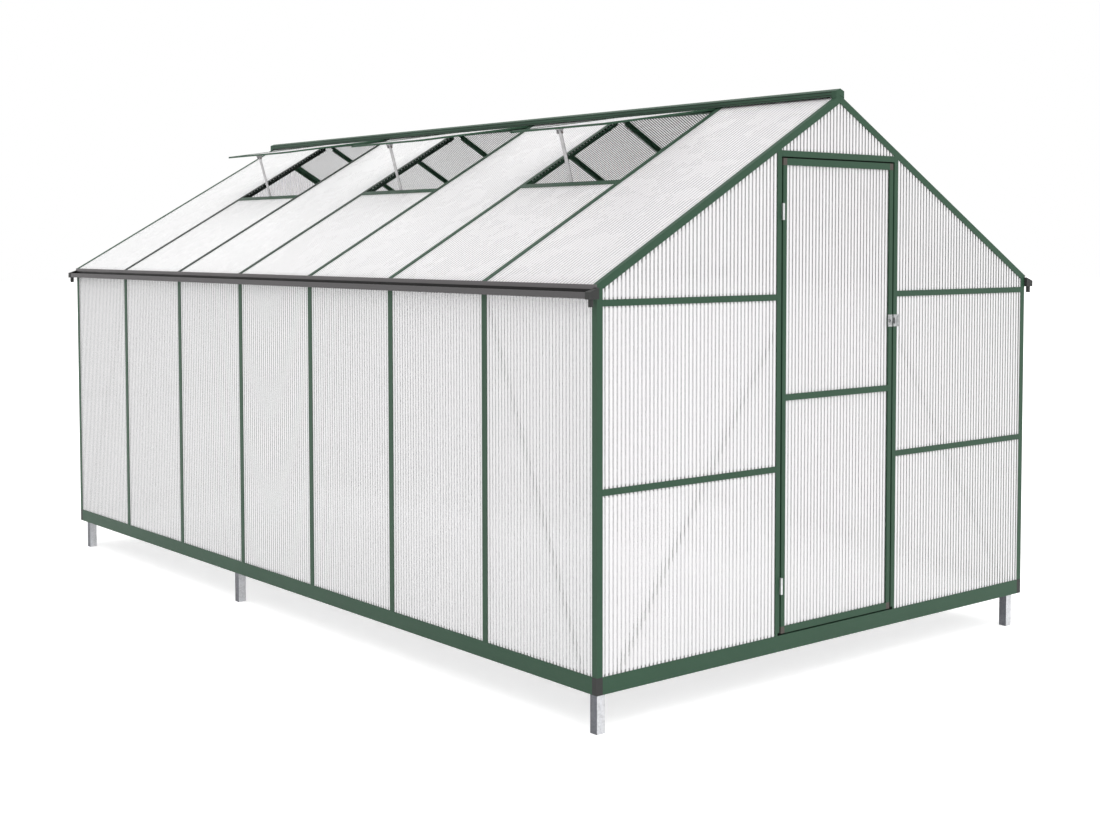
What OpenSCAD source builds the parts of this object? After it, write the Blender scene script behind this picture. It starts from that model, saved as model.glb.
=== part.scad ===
// A greenhouse: a glazing-bar frame with twin-wall sheets, a hinged front door and
// three roof vents. Millimetres, +Z up, front towards -Y, origin on the ground at the centre.

/* [House] */
// Width of the house over its side walls
house_w = 2359; // [1900:1:3000]
// Spacing of the glazing bars along the length
bay_pitch = 610; // [500:1:760]
// Number of bays along the length
bay_count = 7; // [7:1:9]
// What the two gables add to the length of the bays
end_trim = 18; // [10:1:40]
// Height from the underside of the base to the outside of the roof at the side wall
eave_h = 1350; // [1150:1:1800]
// Slope of the roof in degrees
roof_pitch = 30; // [24:0.5:38]

/* [Base and stakes] */
// Height of the base rails
base_h = 59; // [50:1:90]
// Depth of the base rails, inward from the wall face
base_d = 24; // [18:1:32]
// Depth of the turned-down inner edge of a base rail
base_turn = 12; // [8:1:20]
// How far the sheets drop behind the front of a base rail
base_rebate = 8; // [5:1:12]
// Bay line at which the side rails of the base are joined, counted from the front
base_joint_bay = 4; // [2:1:5]
// Height of the base above the ground
stake_drop = 130; // [60:1:200]
// Width of each leg of a stake
stake_leg = 35; // [25:1:45]
// Thickness of a stake
stake_t = 2.2; // [2:0.1:4]
// Distance from the right wall face to the front right stake's corner
stake_inset_front = 96; // [60:1:200]
// Distance from the back wall face to the back stakes' corners
stake_inset_back = 117; // [60:1:200]
// Distance of the middle stakes behind the joint of the base
stake_past_joint = 46; // [10:1:120]

/* [Frame] */
// Visible width of a corner post on each face
corner_face = 25; // [20:1:40]
// Visible width of a side post
post_face = 29; // [20:1:40]
// Visible width of a roof bar
roof_face = 25; // [18:1:40]
// Visible width of a gable bar, square to the slope
gable_face = 26; // [20:1:40]
// Width of the gable bar's flange on the roof
gable_top_face = 20; // [14:1:30]
// Visible height of a rail
rail_face = 22; // [16:1:34]
// Visible width of a door jamb
jamb_face = 22; // [16:1:34]
// Wall thickness of the bars
bar_t = 2; // [1.6:0.1:3]
// How far a bar's inner flange shows past its outer one
ledge_show = 7; // [4:0.5:10]
// How far a gable bar's inner flange shows past its outer one
gable_ledge_show = 14; // [7:0.5:18]
// Depth of the bars, inward from the wall face
bar_d = 24; // [18:1:32]
// Width of the bolt foot along a bar's inner edge
foot_w = 12; // [8:1:18]
// Height of the middle rails' centres above the underside of the base
mid_rail_h = 668.5; // [500:1:900]
// Drop from the roof's outside at the side wall to the upper rails' centres
top_rail_drop = 61; // [45:1:300]
// How much shallower the rails are than the bars, so that the braces pass behind them
rail_inset = 6; // [4:1:10]
// Width of the braces
brace_w = 20; // [14:1:30]
// Height at which the end-wall braces meet the jambs
brace_top_h = 1165; // [800:1:1250]
// Distance from the side wall face to the foot of an end-wall brace
brace_foot_in = 100; // [60:1:300]
// Distance from the end wall face to the foot of a side-wall brace
side_brace_foot = 85; // [60:1:300]
// How far the braces' feet overlap the turned-down edge of the base
brace_lap = 10; // [4:1:12]

/* [Sheets] */
// Thickness of the twin-wall sheets
sheet_t = 4; // [4:0.5:8]
// Gap that a piece keeps from the one it is seated on
fit = 0.3; // [0.2:0.05:0.5]
// Gap between a sheet's edge and the web of its bar
edge_gap = 0.6; // [0.4:0.1:1.5]

/* [Door] */
// Clear width between the jambs
doorway_w = 630; // [500:1:800]
// Distance of the doorway's centre from the middle of the front
doorway_x = 4; // [-20:1:20]
// Gap between the header and the gable bar over the doorway's outer corner
header_gap = 0.8; // [0.3:0.1:150]
// Gap between the door and its jambs
door_gap_side = 7.5; // [5:0.1:12]
// Gap above and below the door
door_gap_end = 5.5; // [5:0.1:12]
// Visible width of the door's stiles
stile_face = 20; // [16:1:34]
// Visible height of the door's top and bottom rails
door_rail_face = 25; // [18:1:36]
// Thickness of the door's frame
door_t = 16; // [12:1:24]
// Height of the door's middle rail above the underside of the base
door_mid_h = 925.5; // [600:1:1200]
// Visible height of the door's middle rail
door_mid_face = 23; // [16:1:34]
// Length of a hinge
hinge_len = 60; // [40:1:90]
// Diameter of a hinge's knuckles
knuckle_d = 9; // [7:0.5:12]
// Diameter of a hinge's pin
pin_d = 4; // [3:0.5:6]
// Radial clearance of a hinge's pin
pin_clearance = 0.08; // [0.04:0.01:0.1]
// Gap between a hinge's knuckles and the front of the frame
knuckle_gap = 1.5; // [1:0.1:4]
// Thickness of a hinge's leaves
hinge_leaf_t = 1.5; // [1:0.1:2]
// Reach of a hinge's leaves inward from the pin
hinge_leaf_in = 20; // [12:1:24]
// Distance from the door's lower edge to the lower hinge's centre
hinge_low_in = 176; // [60:0.5:400]
// Distance from the door's upper edge to the upper hinge's centre
hinge_high_in = 192; // [60:0.5:400]
// Height of the latch's centre above the underside of the base
latch_h = 1186; // [1000:1:1260]
// Height of the latch's plates
latch_plate_h = 46; // [36:1:70]
// Thickness of the latch's plates
latch_t = 2; // [1.5:0.1:3]
// Width of the latch's plate on the door
latch_w = 25; // [22:1:40]
// Width of the latch's plate on the jamb
keeper_w = 32; // [24:1:40]
// Diameter of the boss under the turn knob
boss_d = 16; // [12:0.5:20]
// Height of the boss under the turn knob
boss_t = 3; // [1:0.5:4]
// Diameter of the turn knob
knob_d = 8; // [6:0.5:11]
// Height of the turn knob over the plate
knob_t = 7; // [5:0.5:7]
// Gap between the latch's two plates
keeper_gap = 6; // [5:0.1:8]
// Width of the keeper's rib
rib_w = 6; // [4:0.5:10]
// Height of the keeper's rib over the plate
rib_t = 5; // [3:0.5:7]
// Distance from the keeper's edge to its rib
rib_in = 3; // [1:0.5:8]

/* [Roof vents] */
// Bays with a vent in the left slope, counted from the front
vent_bays = [2, 4, 6];
// Distance from the ridge to the middle of a vent's sill, measured flat
sill_run = 543.5; // [400:0.5:600]
// Width of a vent sill, measured flat
sill_face = 25; // [18:1:36]
// How far a vent's free edge stops short of the middle of its sill, along the slope
vent_short = 6.3; // [0:0.1:12]
// Gap between a vent and the roof bars' centre lines
vent_side_gap = 15; // [14:1:30]
// Angle by which the vents stand open
vent_open = 21.5; // [12:0.5:26]
// Visible width of a vent's frame
vent_face = 16; // [12:1:24]
// Thickness of the vent frame's walls over and under its sheet
vent_wall = 1.7; // [1.2:0.1:4]
// Distance from a vent's free edge to the top of its stay
stay_back = 22; // [20:1:60]
// Width of a vent stay
stay_w = 20; // [8:1:30]
// Thickness of a vent stay
stay_t = 3; // [2:0.5:5]
// How far a stay's plates stand past it on each side
stay_plate_past = 3; // [0:0.5:8]
// Length of a stay's upper plate
stay_plate_len = 22; // [14:1:40]
// How deep a stay's lower plate reaches under the outside of the roof
stay_foot_len = 12; // [8:1:16]

/* [Ridge and gutters] */
// Half of the width of the ridge
ridge_half = 21.5; // [18:0.5:40]
// Height of the ridge's sides
ridge_side_h = 22; // [15:1:40]
// Gap between the roof's outside and the ridge's sides
ridge_gap = 5.3; // [3:0.1:10]
// Rise of the ridge's crown above its sides
ridge_crown = 9; // [4:0.5:20]
// How far the ridge's end caps stand past the end walls
ridge_cap_out = 1; // [0.5:0.5:4]
// How far the ridge's end caps reach back along the ridge
ridge_cap_back = 23; // [10:1:24]
// Height of the lower grooves in the ridge's sides over their lower edges
ridge_groove_low = 7; // [4:0.5:10]
// Height of the upper grooves in the ridge's sides over their lower edges
ridge_groove_high = 18; // [14:0.5:30]
// Width of a groove along the ridge
ridge_groove_w = 2; // [1:0.5:4]
// Depth of a groove along the ridge
ridge_groove_d = 0.8; // [0.3:0.1:1.2]
// Width of a gutter, outward from the wall face
gutter_w = 39.5; // [30:0.5:60]
// Drop from the outside of the roof at the side wall to the underside of a gutter
gutter_drop = 46; // [40:1:60]
// Height of a gutter's outer wall
gutter_lip_h = 22; // [14:1:30]
// Height of the strip along the top of a gutter
eave_strip_h = 15; // [8:1:20]
// Thickness of the strip along the top of a gutter
eave_strip_t = 5; // [3:0.5:8]
// How far a gutter's end cap stands past the end wall
cap_out = 12; // [11:0.5:20]
// How far a gutter's end cap reaches back along the gutter
cap_back = 11.5; // [8:0.5:20]
// Drop from the outside of the roof at the side wall to the top of a gutter's end cap
cap_top_drop = 10; // [4:0.5:16]
// Width of the bevel along the outer edge of a gutter's end cap
cap_bevel = 6; // [3:0.5:10]
// Outside diameter of a gutter's outlet spout
spout_d = 17; // [14:0.5:24]
// Inside diameter of a gutter's outlet spout
spout_bore = 13; // [9:0.5:16]
// Length of a gutter's outlet spout
spout_len = 25; // [15:1:50]
// Distance from the wall face to the middle of a spout
spout_out = 26.5; // [22:0.5:30]

/* [Hidden] */
$fn = 48;

green = "#46624f";
dark_plastic = "#3a3c3b";
gutter_grey = "#686768";
zinc = "#bcbcba";
clear_sheet = "#f4f5f3";

half_w = house_w / 2;
house_l = bay_count * bay_pitch + end_trim;
half_l = house_l / 2;

// Heights above the ground
base_z = stake_drop;
base_top = base_z + base_h;
eave_z = base_z + eave_h;
mid_rail_z = base_z + mid_rail_h;
top_rail_z = eave_z - top_rail_drop;
gutter_z = eave_z - gutter_drop;

// Overlap by which the walls of one piece run into each other
bite = 1;

// Layers of a glazing bar, inward from its outer face: flange, sheet, inner flange, stem
sheet_out = bar_t + fit;
sheet_in = sheet_out + sheet_t;
ledge_out = sheet_in + fit;
ledge_in = ledge_out + bar_t;
web_half = 1.5;
sheet_edge = web_half + edge_gap;
corner_edge = ledge_in + edge_gap;
corner_ledge = corner_face + ledge_show;
gable_ledge = gable_face + gable_ledge_show;
gable_roof_ledge = max(gable_top_face + ledge_show, bar_d);

// The eave's ledge under the roof sheets, and the ridge's
eave_ledge_w = 24;
ridge_ledge_past = 0.5;
ridge_ledge_w = ridge_half + ridge_ledge_past;
roof_bar_low = half_w - eave_ledge_w - fit;
roof_bar_high = ridge_ledge_w + fit;
sheet_ridge_gap = 2.5;
sheet_ridge_x = web_half + sheet_ridge_gap;

// Sheets stand in the base's rebate and stop under the eave
sheet_foot = base_top - base_rebate + fit;
base_lip_top = base_top + ledge_show;
// The base rails' inner parts clear each other at the corners
base_inner_in = max(corner_face, base_d) + fit;

// Rails stay shallower than both ends of the braces
rail_d = min(bar_d, base_d) - rail_inset;

// The lower edges of the ridge's sides
ridge_low = eave_z + (half_w - ridge_half) * tan(roof_pitch) + ridge_gap;

// Braces end on the turned-down edge of the base
brace_low = base_top - base_rebate - brace_lap;

// Doorway
door_left_in = doorway_x - doorway_w / 2;
door_right_in = doorway_x + doorway_w / 2;
jamb_xs = [door_left_in - jamb_face / 2, door_right_in + jamb_face / 2];
doorway_reach = max(abs(door_left_in), abs(door_right_in));
header_z = roof_z(doorway_reach, gable_face) - header_gap - rail_face / 2;
header_low = header_z - rail_face / 2;
leaf_x = [door_left_in + door_gap_side, door_right_in - door_gap_side];
leaf_z = [base_top + door_gap_end, header_low - door_gap_end];
leaf_y = [-half_l, -half_l + door_t];
door_mid_z = base_z + door_mid_h;
leaf_slot = 8;
leaf_sheet_y = (leaf_y[0] + leaf_y[1]) / 2;
hinge_x = door_left_in + door_gap_side / 2;
hinge_y = -half_l - knuckle_d / 2 - knuckle_gap;
hinge_zs = [leaf_z[0] + hinge_low_in, leaf_z[1] - hinge_high_in];
latch_z = base_z + latch_h;

// Vents hang from the lower edge of the ridge's side
vent_slope = roof_pitch - vent_open;
vent_hinge_in = 0.5;
vent_hinge_x = -(ridge_half - vent_hinge_in);
vent_hinge_z = ridge_low - vent_hinge_in;
vent_len = (sill_run + vent_hinge_x) / cos(roof_pitch) - vent_short;
vent_t = sheet_t + 2 * (fit + vent_wall);
vent_slot = 9;

// Height of a surface a given distance under the roof's outside, square to the slope
function roof_z(x, under) =
    eave_z + (half_w - abs(x)) * tan(roof_pitch) - under / cos(roof_pitch);
// Place of a bay line along the house
function bay_y(k) = -half_l + end_trim / 2 + k * bay_pitch;

module box(x, y, z)
    translate([x[0], y[0], z[0]]) cube([x[1] - x[0], y[1] - y[0], z[1] - z[0]]);

module both_sides() {
    children();
    mirror([1, 0, 0]) children();
}

module both_ends() {
    children();
    mirror([0, 1, 0]) children();
}

// A flat piece across the length, drawn as its outline seen from the front
module across(y)
    translate([0, y[1], 0]) rotate([90, 0, 0]) linear_extrude(height = y[1] - y[0]) children();

// A slab in the left slope, from one distance off the middle to another, between two depths
module slope_slab(x, under, y)
    across(y) polygon([
        [-x[0], roof_z(x[0], under[0])], [-x[1], roof_z(x[1], under[0])],
        [-x[1], roof_z(x[1], under[1])], [-x[0], roof_z(x[0], under[1])]
    ]);

// ---- Base

// The flange in front of the sheets
module base_flange_section() square([bar_t, base_h]);

// The shelf under the sheets with its turned-down edge, and the lip behind them
module base_shelf_section()
    polygon([
        [bar_t - bite, base_h - base_rebate - bar_t], [base_d - bar_t, base_h - base_rebate - bar_t],
        [base_d - bar_t, base_h - base_rebate - base_turn], [base_d, base_h - base_rebate - base_turn],
        [base_d, base_h - base_rebate], [ledge_in, base_h - base_rebate],
        [ledge_in, base_h + ledge_show], [ledge_out, base_h + ledge_show],
        [ledge_out, base_h - base_rebate], [bar_t - bite, base_h - base_rebate]
    ]);

// A rail along X from one distance off the left wall to another, its flange and its shelf
module base_rail(flange_x, shelf_x) {
    translate([flange_x[0], 0, base_z]) rotate([90, 0, 90])
        linear_extrude(height = flange_x[1] - flange_x[0]) base_flange_section();
    translate([shelf_x[0], 0, base_z]) rotate([90, 0, 90])
        linear_extrude(height = shelf_x[1] - shelf_x[0]) base_shelf_section();
}

module base_end_rail() {
    flange_x = half_w - corner_face - fit;
    shelf_x = half_w - base_inner_in;
    translate([0, -half_l, 0]) base_rail([-flange_x, flange_x], [-shelf_x, shelf_x]);
}

// The left wall's two rails, joined end to end
module base_side_rails() {
    joint_y = bay_y(base_joint_bay);
    flange_y = half_l - corner_face - fit;
    shelf_y = half_l - base_inner_in;
    translate([-half_w, 0, 0]) mirror([1, -1, 0]) {
        base_rail([-flange_y, joint_y - fit], [-shelf_y, joint_y - fit]);
        base_rail([joint_y + fit, flange_y], [joint_y + fit, shelf_y]);
    }
}

// The lip behind the sheets is cut away under the door
module base_front() color(green) difference() {
    base_end_rail();
    box([door_left_in - jamb_face, door_right_in + jamb_face], [-half_l + bar_t + fit, -half_l + base_d],
        [base_top, base_top + 2 * ledge_show]);
}

module base_back() color(green) mirror([0, 1, 0]) base_end_rail();
module base_sides() color(green) both_sides() base_side_rails();

// An angle as wide as the post, with a block under the post's core; a stake can stand below it
module base_corner()
    translate([-half_w, -half_l, base_z]) {
        linear_extrude(height = base_h) {
            square([corner_face, bar_t]);
            square([bar_t, corner_face]);
        }
        translate([0, 0, base_h - base_rebate - bar_t])
            cube([ledge_in, ledge_in, base_rebate + bar_t]);
    }

module base_corners() color(dark_plastic) both_sides() both_ends() base_corner();

module stake(x, y)
    translate([x, y, 0]) linear_extrude(height = base_top - base_rebate - base_turn - fit)
        polygon([[0, 0], [stake_leg, 0], [stake_leg, stake_t], [stake_t, stake_t],
                 [stake_t, stake_leg], [0, stake_leg]]);

module ground_stakes()
    color(zinc) {
        wall_in = bar_t + fit;
        front_y = -half_l + wall_in;
        left_x = -half_w + wall_in;
        stake(left_x, front_y);
        stake(half_w - stake_inset_front, front_y);
        for (y = [bay_y(base_joint_bay) + stake_past_joint, half_l - stake_inset_back]) {
            stake(left_x, y);
            mirror([1, 0, 0]) stake(left_x, y);
        }
    }

// ---- Bars

// Sections of a corner post at the left front corner, its legs along +X and +Y
module corner_outer() {
    square([corner_face, bar_t]);
    square([bar_t, corner_face]);
}

module corner_inner() {
    square([ledge_in, ledge_in]);
    translate([0, ledge_out]) square([corner_ledge, bar_t]);
    translate([ledge_out, 0]) square([bar_t, corner_ledge]);
    difference() {
        translate([ledge_out, ledge_out]) square(bar_d - ledge_out);
        translate([ledge_in, ledge_in]) square(bar_d - ledge_in - bar_t);
    }
}

// What stays under the gable bars, a given distance below the roof's outside
module under_roof(under)
    across([-half_l - 1, half_l + 1]) polygon([
        [-half_w - 1, 0], [half_w + 1, 0], [half_w + 1, roof_z(half_w + 1, under)],
        [0, roof_z(0, under)], [-half_w - 1, roof_z(half_w + 1, under)]
    ]);

// The post stops under the gable bar's inner flange, and its front leg under the bar's face
module corner_post() {
    height = roof_z(half_w - corner_ledge, 0) - base_top;
    intersection() {
        translate([-half_w, -half_l, 0]) {
            translate([0, 0, base_top + fit]) linear_extrude(height = height) corner_outer();
            translate([0, 0, base_lip_top + fit]) linear_extrude(height = height) corner_inner();
        }
        under_roof(gable_ledge + fit);
    }
    intersection() {
        box([-half_w, -half_w + corner_face], [-half_l, -half_l + bar_t],
            [base_top + fit, base_top + height]);
        under_roof(gable_face + fit);
    }
}

module corner_posts() color(green) both_sides() both_ends() corner_post();

// A wall bar's section: X across the bar, Y inward from its outer face
module bar_outer(face) translate([-face / 2, 0]) square([face, bar_t]);

// On a side without a sheet the bar is closed by a wall in place of the inner flange
module bar_inner(face, left = true, right = true) {
    low = left ? -face / 2 - ledge_show : -face / 2;
    high = right ? face / 2 + ledge_show : face / 2;
    translate([-web_half, bar_t - bite]) square([2 * web_half, bar_d - bar_t + bite]);
    translate([low, ledge_out]) square([high - low, bar_t]);
    translate([-foot_w / 2, bar_d - bar_t]) square([foot_w, bar_t]);
    if (!left) translate([-face / 2, bar_t - bite]) square([bar_t, ledge_in - bar_t + bite]);
    if (!right) translate([face / 2 - bar_t, bar_t - bite]) square([bar_t, ledge_in - bar_t + bite]);
}

// A post in the left wall. Its inner parts stand on the base's lip, its outer flange in front
module side_post(y)
    translate([-half_w, y, 0]) rotate([0, 0, -90]) {
        translate([0, 0, base_top + fit]) linear_extrude(height = gutter_z - fit - base_top - fit)
            bar_outer(post_face);
        translate([0, 0, base_lip_top + fit])
            linear_extrude(height = gutter_z - fit - base_lip_top - fit)
                bar_inner(post_face);
    }

module side_posts() color(green) both_sides() for (k = [1:bay_count - 1]) side_post(bay_y(k));

// An upright in an end wall, cut to the slope under the gable bar
module end_upright(x, sheet_left, sheet_right) {
    top = roof_z(x, 0);
    intersection() {
        translate([x, -half_l, base_top + fit]) linear_extrude(height = top - base_top)
            bar_outer(jamb_face);
        under_roof(gable_face + fit);
    }
    intersection() {
        translate([x, -half_l, base_lip_top + fit]) linear_extrude(height = top - base_top)
            bar_inner(jamb_face, sheet_left, sheet_right);
        under_roof(gable_ledge + fit);
    }
}

module door_jambs() color(green) {
    end_upright(jamb_xs[0], true, false);
    end_upright(jamb_xs[1], false, true);
}

module back_studs() color(green) mirror([0, 1, 0]) for (x = jamb_xs) end_upright(x, true, true);

// A rail across an end wall between two uprights. Its inner parts stop at their inner flanges
module end_rail(x, ends, z) {
    inner_x = [x[0] + ends[0], x[1] - ends[1]];
    box(x, [-half_l, -half_l + bar_t], [z - rail_face / 2, z + rail_face / 2]);
    box(inner_x, [-half_l + bar_t - bite, -half_l + rail_d], [z - web_half, z + web_half]);
    box(inner_x, [-half_l + ledge_out, -half_l + ledge_in],
        [z - rail_face / 2 - ledge_show, z + rail_face / 2 + ledge_show]);
}

module side_rails(z) {
    left_in = jamb_xs[0] - jamb_face / 2 - fit;
    right_in = jamb_xs[1] + jamb_face / 2 + fit;
    corner_in = half_w - corner_face - fit;
    end_rail([-corner_in, left_in], [ledge_show, ledge_show], z);
    end_rail([right_in, corner_in], [ledge_show, ledge_show], z);
}

module front_rails() color(green) for (z = [mid_rail_z, top_rail_z]) side_rails(z);

module back_rails() color(green) mirror([0, 1, 0]) for (z = [mid_rail_z, top_rail_z]) {
    side_rails(z);
    end_rail([jamb_xs[0] + jamb_face / 2 + fit, jamb_xs[1] - jamb_face / 2 - fit],
             [ledge_show, ledge_show], z);
}

// The header is closed below, towards the door, and holds the top sheet above
module door_header() color(green) {
    x = [door_left_in + fit, door_right_in - fit];
    intersection() {
        box(x, [-half_l, -half_l + bar_t], [header_low, header_z + rail_face / 2]);
        under_roof(gable_face + fit);
    }
    intersection() {
        header_inner(x);
        under_roof(gable_ledge + fit);
    }
}

module header_inner(x) {
    box(x, [-half_l, -half_l + rail_d], [header_low, header_low + bar_t]);
    box(x, [-half_l, -half_l + ledge_in], [header_z - web_half, header_z + web_half]);
    box(x, [-half_l + ledge_out, -half_l + ledge_in],
        [header_low, header_z + rail_face / 2 + ledge_show]);
}

// ---- Roof

// A gable bar: face and inner flange in the end wall, top flange and ledge along the roof
module gable_bar() {
    run = [half_w, fit];
    y0 = -half_l;
    slope_slab(run, [0, gable_face], [y0, y0 + bar_t]);
    slope_slab(run, [0, bar_t], [y0, y0 + gable_top_face]);
    slope_slab(run, [0, ledge_in], [y0, y0 + ledge_in]);
    slope_slab(run, [0, gable_ledge], [y0 + ledge_out, y0 + ledge_in]);
    slope_slab([roof_bar_low, fit], [ledge_out, ledge_in], [y0, y0 + gable_roof_ledge]);
    slope_slab([roof_bar_low, roof_bar_high], [ledge_out, bar_d], [y0 + bar_d - bar_t, y0 + bar_d]);
}

module gable_bars() color(green) both_ends() both_sides() gable_bar();

// Its upper parts run from the eave's strip to the ridge, its lower parts between their ledges
module roof_bar(y) {
    run = [half_w - fit, sheet_ridge_x];
    inner_run = [roof_bar_low, roof_bar_high];
    face = roof_face / 2;
    slope_slab(run, [0, bar_t], [y - face, y + face]);
    slope_slab(run, [0, sheet_in], [y - web_half, y + web_half]);
    slope_slab(inner_run, [0, bar_d], [y - web_half, y + web_half]);
    slope_slab(inner_run, [ledge_out, ledge_in], [y - face - ledge_show, y + face + ledge_show]);
    slope_slab(inner_run, [bar_d - bar_t, bar_d], [y - foot_w / 2, y + foot_w / 2]);
}

module roof_bars() for (k = [1:bay_count - 1]) roof_bar(bay_y(k));

module roof_bars_left() color(green) roof_bars();
module roof_bars_right() color(green) mirror([1, 0, 0]) roof_bars();

// Height of the ridge's top at a distance from its middle, and a given depth under it
function ridge_top(x, under) =
    ridge_low + ridge_side_h + ridge_crown * (1 - x / ridge_half)
    - under / cos(atan2(ridge_crown, ridge_half));

module ridge_grooves() {
    for (z = [ridge_groove_low, ridge_groove_high], side = [-1, 1])
        translate([side * ridge_half, ridge_low + z])
            square([2 * ridge_groove_d, ridge_groove_w], center = true);
}

module ridge_outline(inset) {
    half = ridge_half - inset;
    polygon([[-half, ridge_low], [-half, ridge_top(half, inset)], [0, ridge_top(0, inset)],
             [half, ridge_top(half, inset)], [half, ridge_low]]);
}

// A hood over the ridge, and between the gable bars a web and two ledges for the sheets
module ridge_beam() color(green) {
    reach = half_l - gable_roof_ledge - fit;
    hood_reach = half_l - ridge_cap_back - fit;
    across([-hood_reach, hood_reach]) difference() {
        ridge_outline(0);
        ridge_outline(bar_t);
        translate([0, -bar_t]) ridge_outline(bar_t);
        ridge_grooves();
    }
    box([-web_half, web_half], [-reach, reach], [roof_z(0, ledge_in), ridge_top(0, bar_t / 2)]);
    both_sides() slope_slab([ridge_ledge_w, 0], [ledge_out, ledge_in], [-reach, reach]);
}

// The ridge's outline, carried down to just over the roof's outside
module ridge_cap_outline() {
    half = ridge_half;
    polygon([[-half, roof_z(half, -fit)], [-half, ridge_top(half, 0)], [0, ridge_top(0, 0)],
             [half, ridge_top(half, 0)], [half, roof_z(half, -fit)], [0, roof_z(0, -fit)]]);
}

// A closed cap over each end of the ridge, sitting on the gable bars
module ridge_end_caps() color(green) both_ends() difference() {
    front = -half_l - ridge_cap_out;
    back = -half_l + ridge_cap_back;
    across([front, back]) ridge_cap_outline();
    across([front + bar_t, back + bite]) {
        ridge_outline(bar_t);
        translate([0, -ridge_gap - bar_t]) ridge_outline(bar_t);
    }
}

// Along the top of the left wall: a wall behind the gutter with a strip on it that runs on over
// the end caps, a ledge under the roof sheets, and a flange behind the wall sheets' tops
module eave_bar() {
    reach = half_l - cap_back - fit;
    inner_reach = half_l - corner_ledge - fit;
    across([-reach, reach]) translate([-half_w, gutter_z]) {
        translate([-bar_t, 0]) square([bar_t, gutter_drop]);
        translate([-eave_strip_t, gutter_drop - eave_strip_h]) square([eave_strip_t, eave_strip_h]);
    }
    over_cap = cap_top_drop - fit;
    box([-half_w - eave_strip_t, -half_w], [-half_l, half_l],
        [gutter_z + gutter_drop - over_cap, gutter_z + gutter_drop]);
    slope_slab([half_w + bite, half_w - eave_ledge_w], [ledge_out, ledge_in],
               [-inner_reach, inner_reach]);
    box([-half_w + ledge_out, -half_w + ledge_in], [-inner_reach, inner_reach],
        [gutter_z, roof_z(half_w - ledge_out, ledge_in) + bite]);
}

module eave_bars() color(gutter_grey) both_sides() eave_bar();

// The gutter's floor lies between the eave bar and its lip
module gutter_floors() color(gutter_grey) both_sides()
    box([-half_w - gutter_w + bar_t + fit, -half_w - bar_t - fit],
        [-half_l + cap_back + fit, half_l - cap_back - fit], [gutter_z, gutter_z + bar_t]);

module gutter_lips() color(gutter_grey) both_sides()
    box([-half_w - gutter_w, -half_w - gutter_w + bar_t],
        [-half_l + cap_back + fit, half_l - cap_back - fit], [gutter_z, gutter_z + gutter_lip_h]);

module cap_outline(inset) {
    low = gutter_z - bar_t;
    out = gutter_w + bar_t;
    lip_top = gutter_z + gutter_lip_h;
    translate([-half_w, 0]) polygon([
        [-fit - inset, low + inset], [-out + inset, low + inset], [-out + inset, lip_top + fit],
        [-out + cap_bevel, lip_top + bar_t - inset / 2],
        [-fit - inset, gutter_z + gutter_drop - cap_top_drop - inset]
    ]);
}

// A box over the end of the gutter, open towards it, with the outlet under it
module gutter_end_cap() {
    cap_y = [-half_l - cap_out, -half_l + cap_back];
    spout_x = -half_w - spout_out;
    spout_y = (cap_y[0] + cap_y[1]) / 2;
    low = gutter_z - bar_t;
    difference() {
        union() {
            across(cap_y) cap_outline(0);
            translate([spout_x, spout_y, low - spout_len])
                cylinder(h = spout_len + bite, d = spout_d);
        }
        across([cap_y[0] + bar_t, cap_y[1] + bite]) cap_outline(bar_t);
        translate([spout_x, spout_y, low - spout_len - bite])
            cylinder(h = spout_len + bar_t + 2 * bite, d = spout_bore);
    }
}

module gutter_end_caps() color(dark_plastic) both_sides() both_ends() gutter_end_cap();

// ---- Sheets

// Where the sheets of a bay start and end along the house
function bay_low(b) = b == 1 ? -half_l + corner_edge : bay_y(b - 1) + sheet_edge;
function bay_high(b) = b == bay_count ? half_l - corner_edge : bay_y(b) - sheet_edge;

module wall_sheets() {
    top = roof_z(half_w - sheet_out, ledge_in) - fit;
    for (b = [1:bay_count])
        box([-half_w + sheet_out, -half_w + sheet_in], [bay_low(b), bay_high(b)],
            [sheet_foot, top]);
}

module left_wall_sheets() color(clear_sheet) wall_sheets();
module right_wall_sheets() color(clear_sheet) mirror([1, 0, 0]) wall_sheets();

// A sheet in an end wall whose top edge follows the roof, over the ridge where it reaches it
module gable_sheet(x, z) {
    crown = x[0] < 0 && x[1] > 0 ? [[0, roof_z(0, corner_edge)]] : [];
    across([-half_l + sheet_out, -half_l + sheet_in]) polygon(concat(
        [[x[0], z], [x[1], z], [x[1], roof_z(x[1], corner_edge)]],
        crown, [[x[0], roof_z(x[0], corner_edge)]]
    ));
}

// The sheets of an end wall between two uprights, below the gable
module column_sheets(x) {
    y = [-half_l + sheet_out, -half_l + sheet_in];
    box(x, y, [sheet_foot, mid_rail_z - sheet_edge]);
    box(x, y, [mid_rail_z + sheet_edge, top_rail_z - sheet_edge]);
}

module side_columns()
    for (x = [[-half_w + corner_edge, jamb_xs[0] - sheet_edge],
              [jamb_xs[1] + sheet_edge, half_w - corner_edge]]) {
        column_sheets(x);
        gable_sheet(x, top_rail_z + sheet_edge);
    }

module front_wall_sheets() color(clear_sheet) {
    side_columns();
    gable_sheet([door_left_in + edge_gap, door_right_in - edge_gap], header_z + sheet_edge);
}

module back_wall_sheets() color(clear_sheet) mirror([0, 1, 0]) {
    side_columns();
    middle = [jamb_xs[0] + sheet_edge, jamb_xs[1] - sheet_edge];
    column_sheets(middle);
    gable_sheet(middle, top_rail_z + sheet_edge);
}

function has_vent(b) = len([for (v = vent_bays) if (v == b) v]) > 0;

module roof_sheet(b, high_x)
    slope_slab([half_w - fit, high_x], [sheet_out, sheet_in], [bay_low(b), bay_high(b)]);

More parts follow.
